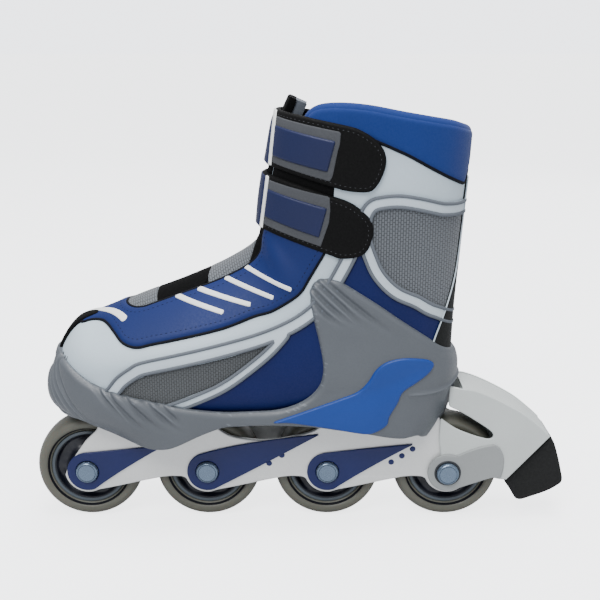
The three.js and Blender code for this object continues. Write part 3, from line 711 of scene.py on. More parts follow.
GUARD = [(-20, 204), (41.5, 204), (43.5, 240), (42, 257), (20, 262), (-20, 268)]
COLLAR = [(-30, 272), (0, 268), (40, 266), (60, 262.6), (70, 259), (79, 255.1), (88.3, 250.8), (100.9, 243.8),
          (114.8, 236.3), (123.9, 231.7), (160, 214), (160, 320), (-30, 320)]
BACKSTAY = [(125.5, 234), (124.2, 213.1), (122.2, 190), (119.7, 172), (114, 152), (106.7, 131.8), (104, 118),
            (170, 118), (170, 234)]
STRIPES = [((-57.5, 158.2), (-25.8, 151.2)), ((-43.2, 162.9), (-8.7, 156.4)), ((-25.6, 170.2), (5.8, 161.3)),
           ((-12.6, 177.5), (17.1, 167.2))]
TOE_STRIPE = [(-118, 9), (-113, 4.5), (-107.6, -1.2), (-102.5, -6.6), (-98.2, -11.2), (-94, -16),
              (-90.9, -19.8)]
# The blue insert of the shell, z from SOLE.
ACCENT = [(5, .9), (21, 7), (46, 15.9), (58.8, 21), (65.4, 27.7), (70, 35.4), (76.8, 41), (87.5, 43.4),
          (99.7, 42.3), (105.9, 40), (107.6, 36.6), (104, 31.6), (96, 25.9), (88, 20.4), (84.5, 12.6),
          (79.8, 4.3), (78, -2), (71, -6.8), (63.3, -8), (43.5, -4.4), (17, .2)]
BAND_HALF, LOW_HALF, RING_WIDTH = 4.5, 3.5, 8.6
BAND_RISE, EDGING_IN = 1.3, .85
VAMP_RISE, COLLAR_RISE = 1.8, 1.6
PIPING_IN = .1
MESH_UNDER = 1.5


def upper_fields():
    """The fields of the upper's pieces on the boot surface."""
    x, y, z = BOOT.p.T
    ankle = area_field(spline(ANKLE, 5, True), x, z)
    bands = np.minimum(line_distance(spline(BAND_HIGH, 5), x, z) - BAND_HALF,
                       line_distance(spline(BAND_LOW, 5), x, z) - LOW_HALF)
    back = area_field(spline(BACKSTAY, 4, True), x, z)
    return {"vamp": area_field(spline(VAMP_LOW, 5).tolist() + [(41, 208), (-60, 208), (-136, 208)], x, z),
            "lens": area_field(spline(LENS, 5, True), x, z), "ankle": ankle, "bands": bands,
            "ring": np.maximum(ankle - RING_WIDTH, -ankle), "guard": area_field(GUARD, x, z),
            "side": area_field(SIDE, x, z), "triangle": area_field(TRIANGLE, x, z),
            "collar": area_field(spline(COLLAR[:10], 5).tolist() + [(160, 320), (-30, 320)], x, z),
            "backstay": np.maximum(back, np.abs(y) - 13 - 27 * smooth(234, 150, z))}


def upper_panel(name, f, rise, radius, mat, **settings):
    return panel(name, BOOT, f, rise, radius, MAT[mat], slot="boot_leather", **settings)


def upper_tube(name, lines, radius, mat, lift, sides):
    return tube(name, lines, radius, MAT[mat], lift, sides)


def make_upper():
    f = upper_fields()
    open_front = np.maximum(-throat_field(BOOT.p), -cuff_field(BOOT.p))

    def closed(g, margin=0.0):
        return np.maximum(g, open_front + margin)

    body = clip(BOOT, closed(-9.0), (-.5, -2))
    upper = add_skin("boot_body", body[0], MAT["leather"], None)
    upper.data.materials.append(MAT["lining"])
    apply(upper, "SOLIDIFY", thickness=.0038, offset=-1, material_offset=1, material_offset_rim=0)
    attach(upper, SKATE)
    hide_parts("boot_upper")
    make_vamp(closed(f["vamp"], .8))
    upper_panel("shin_guard", closed(f["guard"], .8), .9, 1.5, "black")
    upper_panel("side_panel", closed(np.maximum(f["side"], -f["bands"])), .7, 1, "side")
    upper_panel("lens_mesh", np.maximum(f["lens"], -f["bands"] - MESH_UNDER), .35, .5, "lens", flat=True)
    upper_panel("ankle_mesh", f["ankle"] - MESH_UNDER, .35, .5, "mesh", flat=True)
    triangle = np.maximum(np.maximum(f["triangle"], RING_WIDTH - f["ankle"]), -f["bands"])
    upper_panel("heel_panel", triangle, .7, 1, "side")
    make_band("side_band", np.maximum(closed(f["bands"]), -f["vamp"]))
    make_band("ankle_band", f["ring"])
    make_collar(f["collar"])
    make_backstay(f["backstay"])
    make_toe_strip()


def make_band(name, f):
    """A light band with a grey seam along its edges."""
    upper_panel(name, f, BAND_RISE, 1.6, "band")
    upper_tube(name + "_edging", contour(BOOT, f, -EDGING_IN, .8), 1.1, "edging", BAND_RISE, 10)
    lines = contour(BOOT, f, -EDGING_IN, .5)
    upper_tube(name + "_stitches", zigzag(lines, .8), .2, "thread", BAND_RISE + .38, 5)


def stripe_field(x, y, z):
    """The white stripes on the side and over the toe."""
    f = line_distance(spline(TOE_STRIPE, 5), x, y) - 2.1
    for (ax, az), (bx, bz) in STRIPES:
        d = np.array([bx - ax, bz - az])
        length = np.linalg.norm(d)
        d /= length
        u, v = (x - ax) * d[0] + (z - az) * d[1], -(x - ax) * d[1] + (z - az) * d[0]
        f = np.minimum(f, np.maximum(np.abs(u - length / 2) - length / 2, np.abs(v) - 1.45))
    return f


def make_vamp(f):
    """The blue leather over the forefoot, with its piping and white stripes."""
    upper_panel("vamp", f, VAMP_RISE, 3.2, "blue")
    upper_tube("vamp_piping", contour(BOOT, f, -PIPING_IN, 1.2, 40), 1.0, "piping", .25, 10)
    stripes = np.maximum(stripe_field(*BOOT.p.T), f + 1.0)
    upper_panel("vamp_stripes", stripes, .55, .5, "stripe", base=VAMP_RISE - .1, sunk=.2)
    upper_tube("vamp_stitches", dashes(contour(BOOT, f, -4.2, .8, 40)), .22, "piping", VAMP_RISE - .02, 5)


def cut_line(p, n, keep):
    """The first kept stretch of a closed line."""
    turn = -int(np.argmax(keep & ~np.roll(keep, 1)))
    p, n, keep = np.roll(p, turn, 0), np.roll(n, turn, 0), np.roll(keep, turn)
    end = len(keep) if keep.all() else int(np.argmin(keep))
    return p[:end], n[:end]


def make_collar(f):
    """The collar's fabric, its piping and the padded roll round the cuff's inside."""
    f = np.maximum(f, np.maximum(-throat_field(BOOT.p), -cuff_field(BOOT.p)))
    upper_panel("collar", f, COLLAR_RISE, 3.0, "collar")
    lower = [cut_line(p, n, p[:, 2] < 264) for p, n in contour(BOOT, f, -PIPING_IN, 1.2, 40)]
    upper_tube("collar_piping", lower, 1.15, "piping", .2, 10)
    p, n = max(contour(BOOT, cuff_field(BOOT.p), 0, 1.5, 60), key=lambda line: len(line[0]))
    p, n = cut_line(p, n, (np.abs(p[:, 1]) > THROAT_HALF + .5) | (p[:, 0] > 60))
    roll = upper_tube("cuff_roll", [even(p - n * 3.2 - (0, 0, 1), n, 1.5)], 3.9, "collar", 0, 18)


def make_backstay(f):
    strip = panel("backstay_strip", BOOT, f, 1.9, 1.4, MAT["backstay"], slot="backstay")
    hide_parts("backstay")
    tube("backstay_piping", contour(BOOT, f, -PIPING_IN, 1.2, 30), .5, MAT["band"], 1.5, 8)


def make_toe_strip():
    """The dark strip up the middle of the toe, wider at the nose."""
    x, y = BOOT.p[:, 0], BOOT.p[:, 1]
    nose = smooth(-110, -131, x)
    strip = np.maximum(np.abs(y - 3.5 * nose) - 4 - 6.5 * nose, x + 110.5)
    upper_panel("toe_strip", strip, 2.1, 1.4, "black")


TONGUE_TOP = 289.6
TONGUE_BANDS = [(-200, -71, "mesh"), (-71, -36, "black"), (-36, -6, "mesh"), (-6, 300, "black")]
# name, depth under the boot's surface, thickness, material, how much narrower
TONGUE_LAYERS = [("tongue_front", 3.1, 4.2, "black", 0), ("tongue_pad", 9.2, 6.6, "edging", 1.2)]


def make_tongue():
    """The crowned tongue in coloured bands under the throat, and its thick top behind the straps."""
    x, y, z = BOOT.p.T
    across = np.clip(np.abs(y) / THROAT_HALF, 0, 1.2)
    low = smooth(252, 236, z) * (.5 * np.sin(np.minimum(across, 1) * math.pi) - .5) - 1.5 * across ** 3
    low = np.where(z > 252, -1.2, low)
    region = np.maximum(throat_field(BOOT.p, THROAT_HALF + 3), z - TONGUE_TOP)
    narrow = np.maximum(throat_field(BOOT.p, THROAT_HALF - 1), z - TONGUE_TOP)
    skin = BOOT.raised(low)
    for k, (a, b, mat) in enumerate(TONGUE_BANDS, 1):
        curve = x + (y / THROAT_HALF) ** 2 * (6 if k > 2 else 0)
        f = np.maximum(np.maximum(a - curve, curve - b), np.where(z < 262, region, narrow))
        panel(f"tongue_band_{k}", skin, f, .8, .8, MAT[mat], slot="lining")
    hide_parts("tongue")
    make_tongue_top(np.maximum(narrow, 248 - z))


def make_tongue_top(f):
    """Two thick layers behind the straps: black outside, grey padding inside."""
    for name, depth, thick, mat, margin in TONGUE_LAYERS:
        cut, _ = clip(BOOT, f + margin, (-.6, -1.6, -3))
        layer = add_skin(name, cut.raised(-depth), MAT[mat], None)
        apply(layer, "SOLIDIFY", thickness=thick * .001, offset=0)
        apply(layer, "BEVEL", width=.0012, segments=3, limit_method="ANGLE", angle_limit=math.radians(60))
        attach(layer, SKATE)


def make_insole():
    """A thin pad that fills the boot's plan just above the sole."""
    low = 1000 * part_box("insole")[0].z
    a = np.linspace(0, 2 * math.pi, 160, endpoint=False)
    ring = BOOT.p[np.abs(BOOT.p[:, 2] - (SOLE + 9)) < 1.2][:, :2]
    cx = ring[:, 0].mean()
    angle = np.arctan2(ring[:, 1], (ring[:, 0] - cx) * .33)
    r = np.interp(a, angle, np.hypot(ring[:, 0] - cx, ring[:, 1]), period=2 * math.pi) - 5.2
    reach = unit(np.stack([np.cos(a) * 3.03, np.sin(a)], 1)) * r[:, None]
    rows = [(.02, 4.6), (.3, 4.5), (.6, 4.2), (.85, 3.9), (.95, 3.7), (1, 3), (1, 1), (.96, 0), (.02, 0)]
    pts = np.vstack([np.column_stack([reach * share + (cx, 0), np.full(len(a), low + h)])
                     for share, h in rows])
    obj = add_mesh("insole_pad", pts, grid_tris(len(rows), len(a), True), MAT["lining"], SKATE,
                   pts[:, :2])
    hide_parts("insole")


# ---- Base shell -----------------------------------------------------------------------------

# The plan is in x and y, the edges' z is from SOLE, and the grooves' z is from the ground.
SHELL_PLAN = [(-147, 4), (-143, 15), (-136, 26), (-124, 35), (-106, 41), (-82, 45), (-54, 46.2), (-28, 44.5),
              (0, 42), (40, 40.5), (76, 39), (100, 34), (114, 25), (122, 13), (125, 4)]
SHELL_TOP = [(-160, 43), (-141, 42.5), (-133, 38), (-122, 30.2), (-112.6, 25.7), (-102, 22.3), (-88.7, 19.2),
             (-69, 14.7), (-46, 10.1), (-26.6, 7.6), (-7.9, 7.3), (6.7, 8), (18.8, 11.5), (28.5, 17.1),
             (34.5, 24), (36.8, 33), (36.4, 42), (33.8, 56), (30.4, 70), (28.5, 80), (28.2, 88), (32.3, 93.8),
             (38, 94.9), (45.7, 93.6), (51.3, 90.6), (70.7, 78.3), (85, 68.5), (103.2, 56.3), (113, 49.2),
             (124, 43), (140, 36)]
SHELL_LOW = [(140, -30), (108, -20), (100, -14.5), (94, -14), (87, -13.6), (65, -8.6), (48, -6), (30.5, -3.3),
             (6.5, -1.8), (-16.4, -1.6), (-26, -2), (-33, -4), (-44, -8.5), (-60, -16), (-71.8, -18.2),
             (-81.5, -18), (-94.6, -14.6), (-110.6, -7.2), (-122, -2.7), (-132.3, .6), (-150, 4), (-170, 6)]
WING_GROOVES = [[(27, 165), (38.1, 152.4), (52.6, 141.5)], [(27, 171), (42.9, 155.4), (61.2, 141.5)],
                [(31, 174), (51.5, 154.4), (67.1, 138.4)],
                [(35, 176), (53.3, 160.3), (70.7, 146.5), (87.3, 134.4)]]
TOE_GROOVES = [[(-112, 109), (-104.7, 98.9), (-95.4, 88.5), (-86, 79)],
               [(-102.6, 103.5), (-93.3, 91.6), (-82.1, 80.1), (-70.6, 71.6)],
               [(-92, 101), (-81.7, 89.5), (-71.2, 80.1), (-60.6, 73.8)],
               [(-78, 97), (-68, 87.4), (-58.5, 79), (-49.8, 74.3)],
               [(-68, 94.5), (-58.3, 85.4), (-51.6, 79)]]
NOSE_GROOVES = [[(-135, 121), (-136.5, 113.4), (-134.2, 103.9), (-127.9, 92.3), (-118.5, 81.6), (-107, 70.8)],
                [(-138.5, 119), (-140, 109.2), (-138.4, 100.7), (-131.1, 90.1), (-119.7, 78.3),
                 (-109.1, 68.6)],
                [(-141, 117), (-143, 108), (-142, 98.5), (-134.5, 88), (-122.5, 76.5)],
                [(-143.5, 114), (-146, 106), (-145.5, 96.5), (-138.5, 86), (-126, 76)]]
HEEL_RIDGE = [(92, 98.5), (100.9, 98.6), (112, 98.8), (121, 100.8), (134, 106)]
SHELL_GAP, LIP = .3, 3.9


def plan_loop(count):
    """The shell's plan as evenly spaced points, from the heel round the outer side, with outward normals."""
    p = np.array(SHELL_PLAN, float)
    shift = np.clip((-74 - p[:, 0]) / 12, 0, 5)
    loop = np.vstack([np.column_stack([p[:, 0], shift - p[:, 1]])[::-1],
                      np.column_stack([p[:, 0], shift + p[:, 1]])])
    loop = spline(loop, 12, True)
    q, _ = even(np.column_stack([np.vstack([loop, loop[:1]]), np.zeros(len(loop) + 1)]),
                np.ones((len(loop) + 1, 3)), .5)
    way = np.linspace(0, len(q) - 1, count, endpoint=False)
    q = np.stack([np.interp(way, np.arange(len(q)), q[:, i]) for i in (0, 1)], 1)
    n = left_of(np.roll(q, -6, 0) - np.roll(q, 6, 0))
    return q, n if ((q - q.mean(0)) * n).sum() > 0 else -n


def groove(lines, x, z, width, start=0.0):
    """How deep each point lies in a set of grooves, from 0 to 1, fading towards each line's end."""
    deep = np.zeros(len(x))
    for line in lines:
        p = spline(line, 5)
        d = line_distance(p, x, z)
        way = np.hypot(x - p[0][0], z - p[0][1]) / max(np.hypot(*(p[-1] - p[0])), 1)
        deep = np.maximum(deep, np.exp(-(d / width) ** 2) * (1 - smooth(.45, 1.0, way)))
    return deep


def shell_skin(cols=760, rows=250):
    """The shell's outer surface: the boot's form grown by the wall, over a skirt that follows the plan."""
    tree = BVHTree.FromPolygons(BOOT.p.tolist(), BOOT.tris.tolist())
    q, n = plan_loop(cols)
    depth = 30.0
    start = q - n * depth
    zs = np.linspace(FLOOR - 2, SOLE + 97, rows)
    reach = np.zeros((rows, cols))
    for i, z in enumerate(zs):
        for j in range(cols):
            hit = tree.ray_cast(Vector((start[j, 0], start[j, 1], z)), Vector((n[j, 0], n[j, 1], 0)), 70)
            reach[i, j] = hit[3] if hit[0] is not None else np.nan
    for j in range(cols):
        column = reach[:, j]
        good = ~np.isnan(column)
        reach[:, j] = np.interp(zs, zs[good], column[good]) if good.any() else depth - 5
    x = q[:, 0][None, :]
    z = zs[:, None]
    toe, heel = smooth(-60, -110, x), smooth(60, 120, x)
    middle = 87 + 4 * toe + 22 * heel
    bulge = -.2 + 2.6 * toe + 2.6 * heel
    under = .15 + 2.3 * toe + .45 * heel
    over = 2.2 - .8 * toe + .6 * heel
    t = (z - middle) / 10
    skirt = depth + bulge - np.where(t < 0, under, over) * t * t
    wall = reach + SHELL_GAP + LIP
    soft = 5.0
    h = np.clip(.5 + .5 * (wall - skirt) / soft, 0, 1)
    r = skirt + (wall - skirt) * h + soft * h * (1 - h)
    for _ in range(6):
        r = .5 * r + .25 * (np.roll(r, 1, 1) + np.roll(r, -1, 1))
        r[1:-1] = .5 * r[1:-1] + .25 * (r[:-2] + r[2:])
    g = np.empty((rows, cols, 3))
    g[..., 0] = start[:, 0] + n[:, 0] * r
    g[..., 1] = start[:, 1] + n[:, 1] * r
    g[..., 2] = z
    return closed_skin(g)


def carve_shell(skin):
    """Ribs on the toe, flutes at the wing's top and a ridge round the heel."""
    x, y, z = skin.p.T
    h = -2.1 * groove(WING_GROOVES, x, z, 1.9)
    h -= 2.0 * groove(TOE_GROOVES, x, z, 1.8)
    h -= 1.5 * groove(NOSE_GROOVES, x, z, 1.3)
    ridge = line_distance(spline(HEEL_RIDGE, 5), x, z)
    h += 1.3 * np.exp(-(ridge / 1.3) ** 2) * smooth(86, 98, x)
    h -= 1.6 * np.exp(-((x - 52) / 16) ** 2 - ((z - 125) / 16) ** 2)
    return h


def rounding(distance, depth, radius):
    """How far a surface falls towards an edge, to round it."""
    return depth * (1 - np.sqrt(1 - (1 - np.clip(distance / radius, 0, 1)) ** 2))


def make_shell():
    skin = shell_skin()
    x, y, z = skin.p.T
    top, low = (from_sole(spline(edge, 4)) for edge in (SHELL_TOP, SHELL_LOW))
    cut, _ = clip(skin.raised(carve_shell(skin)), area_field(top + low, x, z), (-.1, -.4, -1, -2, -3.2))
    fall = rounding(line_distance(top, cut.p[:, 0], cut.p[:, 2]), LIP, 4.2)
    fall += rounding(line_distance(low, cut.p[:, 0], cut.p[:, 2]), 1.6, 1.8)
    shell = add_skin("shell_body", cut.raised(-np.minimum(fall, LIP)), MAT["shell"], None)
    apply(shell, "SOLIDIFY", thickness=.0026, offset=-1)
    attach(shell, SKATE)
    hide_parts("base_shell")
    make_shell_floor()
    outline = area_field(from_sole(spline(ACCENT, 5, True)), x, z)
    for name, sign in SIDES:
        f = np.where(y * sign > 10, outline, 99)
        piece = panel(f"accent_{name}_insert", skin, f, 1.5, 1.5, MAT["accent"], slot="accent", sunk=.5)
        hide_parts(f"accent_{name}")


def make_shell_floor():
    """The flat sole that the boot stands on, over the frame's deck."""
    q, n = plan_loop(220)
    low = DECK_TOP + .3
    rows = [(.02, low), (.5, low), (.96, low), (1, low + .5), (1, low + 2), (.5, low + 2.3), (.02, low + 2.3)]
    pts = np.vstack([np.column_stack([(q - n * 3.2) * share, np.full(len(q), h)]) for share, h in rows])
    add_mesh("shell_floor", pts, grid_tris(len(rows), len(q), True)[:, ::-1], MAT["shell"], SKATE,
             pts[:, :2])


# ---- Straps ---------------------------------------------------------------------------------

# z is from SOLE. The edge is where the white line ends the strap's grey and blue panels at the front.
STRAPS = {
    "upper": {
        "outline": [(-30, 160), (3, 161.8), (40.2, 152.6), (49.2, 150.2), (60.6, 149.2), (66.6, 151),
                    (71.3, 158.2), (73.8, 167.2), (72.4, 174.4), (67.6, 180.6), (59.4, 186.2), (48.8, 189.6),
                    (11.3, 196), (-30, 199)],
        "grey": [(5.6, 165), (40.7, 156), (42.4, 159), (45.4, 174.8), (46.4, 178), (47, 185.6), (9.4, 192.4)],
        "blue": [(6.2, 169.1), (39.5, 161.7), (44.1, 180.2), (8.8, 187.4)],
        "edge": [(3.4, 161.8), (7.4, 195.9)],
    },
    "lower": {
        "outline": [(-30, 123), (-3, 122.8), (35.6, 111.4), (46.6, 107.8), (56.4, 108.5), (62.5, 111.6),
                    (66, 118.5), (67.1, 125.9), (65.2, 132.7), (59.6, 138.2), (52.3, 143.1), (40.2, 147.2),
                    (6.2, 156.5), (-30, 157.5)],
        "grey": [(.2, 126.2), (35.5, 115.4), (40.4, 130.5), (41.2, 138.4), (40.8, 146.6), (4.6, 153.8)],
        "blue": [(1, 131.3), (34.6, 121.2), (39.4, 139.6), (4.6, 148.2)],
        "edge": [(-2.4, 122.6), (2.2, 156.6)],
    },
}
STRAP_LOW, STRAP_RISE = .5, 2.9


def strap_panels(shapes, outline, x, y, z):
    """name, field, rise, rim radius, material and height above the strap of each panel on it."""
    (ax, az), (bx, bz) = from_sole(shapes["edge"])
    ahead = x - 1.9 - ax - (z - az) * (bx - ax) / (bz - az)
    grey, blue = (area_field(from_sole(shapes[key]), x, z) for key in ("grey", "blue"))
    grey, blue = np.maximum(grey, 2.0 - ahead), np.maximum(blue, 2.3 - ahead)
    near = np.maximum(outline + 1.0, y - 4)
    return [
        ("grey_panel", np.maximum(grey, y - 2), .55, .6, "strap_grey", 0),
        ("blue_panel", np.maximum(blue, y - 2), 1.5, 1.1, "strap_blue", .35),
        ("white_edge", np.maximum(near, np.abs(ahead - .9) - .85), .9, .7, "stripe", 0),
        ("front_panel", np.maximum(np.maximum(outline + 1.4, ahead + .1), -y - 40), .8, .8, "strap_blue", 0),
    ]


def make_strap(name, shapes):
    """A strap with its panels and stitches."""
    x, y, z = BOOT.p.T
    top = STRAP_LOW + STRAP_RISE

    def bend(obj):
        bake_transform(obj)

    outline = area_field(spline(from_sole(shapes["outline"]), 5, True), x, z)
    cut, g = clip(BOOT, outline, (-.05, -.2, -.5, -1, -1.8))
    body = add_skin(f"{name}_strap", cut.raised(STRAP_LOW + dome(g, STRAP_RISE, 1.8, 0)), MAT["tab"], None)
    apply(body, "SOLIDIFY", thickness=.0022, offset=-1)
    bend(body)
    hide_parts(f"{name}_strap_flap", f"{name}_strap_band")
    for part, f, rise, radius, mat, base in strap_panels(shapes, outline, x, y, z):
        bend(panel(f"{name}_strap_{part}", BOOT, f, rise, radius, MAT[mat], top + base, None, "strap", .3))
    lines = dashes(contour(BOOT, outline, -3.0, .75, 20))
    bend(tube(f"{name}_strap_stitches", lines, .2, MAT["strap_grey"], top - .08, 5, None))


# ---- Wheels ---------------------------------------------------------------------------------

def both(profile):
    """A profile and its mirror image, as one closed line."""
    return profile + [(r, -y) for r, y in reversed(profile)]


TYRE = [(25.6, 8), (26.6, 9.4), (27.6, 9.9), (28.2, 10.8), (29, 11.6), (30.5, 11.95), (32, 11.9),
        (33.3, 11.2), (34.4, 9.8), (35.2, 7.7), (35.7, 5.2), (WHEEL_R - .06, 2.5), (WHEEL_R, .4)]
# The dark rings at the tyre's inner edge paint the shade in the groove between tyre and hub.
TYRE_SHADE_RING = [(27.3, 9.6), (27.9, 10.15), (28.4, 10.5), (28.1, 9.6)]
RIM_SHADE_RING = [(26.9, 9.2), (27.3, 10.0), (28.3, 10.9), (28.8, 10.9), (28.4, 9.6)]
HUB = [(10, 4.85), (11.3, 4.85), (11.3, 11.4), (13.2, 11.4), (14, 10.2), (16, 8.4), (19, 7.4), (21.5, 7.4),
       (22.6, 8.4), (23.1, 9.0), (25.3, 9.2), (25.3, 8.2)]
HUB_RING = [(23.6, 8.8), (23.6, 9.7), (25.6, 9.9), (25.9, 8.8)]
SPOKES, SPOKE_DEPTH = 6, .28


def spoke_wave(r, y, a):
    """The hub's side drawn in between its spokes."""
    return y * (1 - SPOKE_DEPTH * smooth(12.6, 14.5, r) * smooth(23, 21, r) * (.5 + .5 * np.cos(SPOKES * a)))


def make_wheel(n):
    body, centre = f"wheel_{n}", (AXLES[n - 1], 0, AXLE_Z)
    tyre = lathe(f"tyre_{n}_moulded", rounded(both(TYRE), .5, 2), MAT["tyre"], centre, body, 112, 60)
    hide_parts(f"tyre_{n}")
    # Dark rings in the piping material: painted shade in the tyre's groove.
    lathe(f"tyre_{n}_line", rounded(TYRE_SHADE_RING, .15, 1), MAT["piping"], centre, body, 96, 60)
    hub = lathe(f"hub_{n}_web", rounded(both(HUB), .4, 2), MAT["hub"], centre, body, 108, 35,
                spoke_wave)
    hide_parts(f"hub_{n}")
    for side, sign in SIDES:
        lathe(f"rim_shade_ring_{n}_{side}", mirrored(RIM_SHADE_RING, sign), MAT["piping"], centre, body, 96, 60)
        ring = rounded(mirrored(HUB_RING, sign), .35, 2)
        lathe(f"hub_{n}_ring_{side}", ring, MAT["hub_ring"], centre, body, 96, 60)


def make_axle(n, side, sign):
    """The head of an axle bolt: a bevelled rim round a flat face, in a shallow seat whose dark ring is a painted
    shadow.
    """
    lo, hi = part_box(f"axle_bolt_{n}" if side == "left" else f"axle_screw_{n}")
    out = 1000 * max(-lo.y, hi.y)
    seat = out - 3.7
    centre = (AXLES[n - 1], 0, AXLE_Z)
    head = [(.01, seat), (7.3, seat), (7.5, seat + 1.9), (7.1, out - .7), (6.3, out), (5.4, out),
            (4.9, out - .35), (.01, out - .35)]
    ring = [(7.45, seat - .2), (9.0, seat - .2), (9.0, seat + .35), (8.2, seat + .75), (7.45, seat + .5)]
    head, ring = rounded(mirrored(head, sign), .3, 2), rounded(mirrored(ring, sign), .15, 1)
    lathe(f"axle_head_{n}_{side}", head, MAT["steel"], centre, SKATE, 72, 30)
    # The dark seat ring is painted shadow round the head.
    lathe(f"axle_seat_{n}_{side}", ring, MAT["seat_shadow"], centre, SKATE, 72, 60)


# ---- Frame and brake ------------------------------------------------------------------------

PLATE_IN, PLATE_OUT = 13.2, 1000 * abs(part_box("frame")[0].y)
LOBE_R = 15.5
DECK_TOP = 1000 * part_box("frame")[1].z
DECK_LOW = DECK_TOP - 3
# Where each inlay's point lies from its axle, and the dots beside the second and third.
INLAY_R, INLAY_TIPS = 13.6, [(52, 19), (75, 27), (57, 20)]
DOT_PLACES = [(1.3, 41.7), (9.9, 47.6), (83.6, 42.6), (90.7, 47.1), (97.8, 52.1)]
DOT = [(.01, -.4), (1.95, -.4), (1.95, .15), (1.5, .5), (.01, .6)]
BOSS = [(4.05, 12.5), (6.2, 12.5), (6.4, 13.0), (7.4, 13.4), (7.4, 13.9), (4.05, 13.9)]


def plate_outline():
    """A side plate: a lobe at each axle, a rising lower edge between them and a dip under the waist."""
    first, last = AXLES[0], AXLES[-1]
    points = [(first - 15.2, 33.4), (first - 13.4, 38.6), (first - 7.7, 47.3), (first - .6, 57.4),
              (first + 7.4, 65.5), (first + 10.8, 74), (first + 11, DECK_TOP), (AXLES[1] - 1, DECK_TOP)]
    points += spline([(AXLES[1] - .5, 75), (-34.9, 68.3), (-25.7, 61.8), (-14, 59), (.6, 57.9), (15.2, 60.2),
                      (30, 64.3), (38, 70), (AXLES[2] + .5, 75)], 6).tolist()
    points += [(AXLES[2] + 1, DECK_TOP), (last - 8, DECK_TOP), (last - 4, 70), (last + 3, 58),
               (last + 11, 46.9)]
    points += arc(last, AXLE_Z, LOBE_R, 40, -82, 26)
    for i in range(len(AXLES) - 1, 0, -1):
        points += arc(AXLES[i], AXLE_Z, LOBE_R, -86 if AXLES[i] == last else -82, -158, 22)
        points += [(AXLES[i] - 15.6, 31.2), (AXLES[i] - 17.5, 31.9), (AXLES[i] - 23.8, 32.2),
                   (AXLES[i] - 30.4, 31.6), (AXLES[i] - 41.8, 29.2), (AXLES[i] - 64.3, 24.1),
                   (AXLES[i] - 73.9, 22.2)]
    points += arc(first, AXLE_Z, LOBE_R, -76, -170, 26)
    return points


def quad(a, c, b):
    """A curve from a to b that leans towards c."""
    a, c, b = (np.array(v) for v in (a, c, b))
    return [tuple((1 - t) ** 2 * a + 2 * t * (1 - t) * c + t * t * b) for t in np.linspace(0, 1, 16)]


def teardrop(i):
    """An inlay's outline: round at the axle, drawn out to a point behind it."""
    tip_x, tip_z = INLAY_TIPS[i]
    points = quad((tip_x, tip_z), (tip_x * .35, tip_z * .82), (-2, INLAY_R))
    points += arc(0, 0, INLAY_R, 99, 290, 40)[1:]
    points += quad((4.65, -12.78), (tip_x * .45, tip_z * .1), (tip_x, tip_z - .7))[1:]
    return [(AXLES[i] + a, AXLE_Z + b) for a, b in points]


def make_frame():
    for side, sign in SIDES:
        make_side_plate(side, sign)
        make_inlays(side, sign)
        for n, x in enumerate(AXLES, 1):
            lathe(f"axle_boss_{n}_{side}", mirrored(BOSS, sign), MAT["frame"], (x, 0, AXLE_Z), SKATE,
                  40, 40)
    deck_piece("frame_deck_front", AXLES[0] + 12, AXLES[1] - 2, (AXLES[0] + AXLES[1]) / 2)
    deck_piece("frame_deck_rear", AXLES[2] + 2, AXLES[3] - 9, (AXLES[2] + AXLES[3]) / 2)


def make_side_plate(side, sign):
    ends = sorted((PLATE_IN * sign, PLATE_OUT * sign))
    obj = plate(f"frame_plate_{side}", [plate_outline()], *ends, MAT["frame"], .8, slot="frame")
    if side == "left":
        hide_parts("frame")


def make_inlays(side, sign):
    """The blue teardrops round the first three axles and the dots beside them."""
    ends = sorted(sign * (PLATE_OUT + y) for y in (.05, 1.5))
    for i in range(3):
        outlines = [teardrop(i), arc(AXLES[i], AXLE_Z, 7.7, 0, 345, 24)]
        piece = plate(f"inlay_{i + 1}_{side}_drop", outlines, *ends, MAT["inlay"], .65, slot="inlay")
        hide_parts(f"inlay_{i + 1}_{side}")
    dot = mirrored([(r, PLATE_OUT + y) for r, y in DOT], sign)
    for k, (x, z) in enumerate(DOT_PLACES, 1):
        lathe(f"frame_dot_{k}_{side}", dot, MAT["inlay"], (x, 0, z), SKATE, 32, 60)


def deck_piece(name, x0, x1, bolt_x):
    """A deck between the side plates: a bevelled plate lying flat, with its bolt hole."""
    y = PLATE_IN + .6
    outlines = [[(x0, -y), (x1, -y), (x1, y), (x0, y)], arc(bolt_x, 0, 3.2, 0, 345, 20)]
    obj = plate(name, outlines, -1.5, 1.5, MAT["frame"], .4, None, "frame")
    co = np.zeros(len(obj.data.vertices) * 3)
    obj.data.vertices.foreach_get("co", co)
    co = co.reshape(-1, 3)
    turned = np.stack([co[:, 0], co[:, 2], (DECK_LOW + DECK_TOP) * .0005 - co[:, 1]], 1)
    obj.data.vertices.foreach_set("co", turned.ravel())
    obj.data.update()
    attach(obj, SKATE)


def from_rear(points):
    return [(AXLES[-1] + a, AXLE_Z + b) for a, b in points]


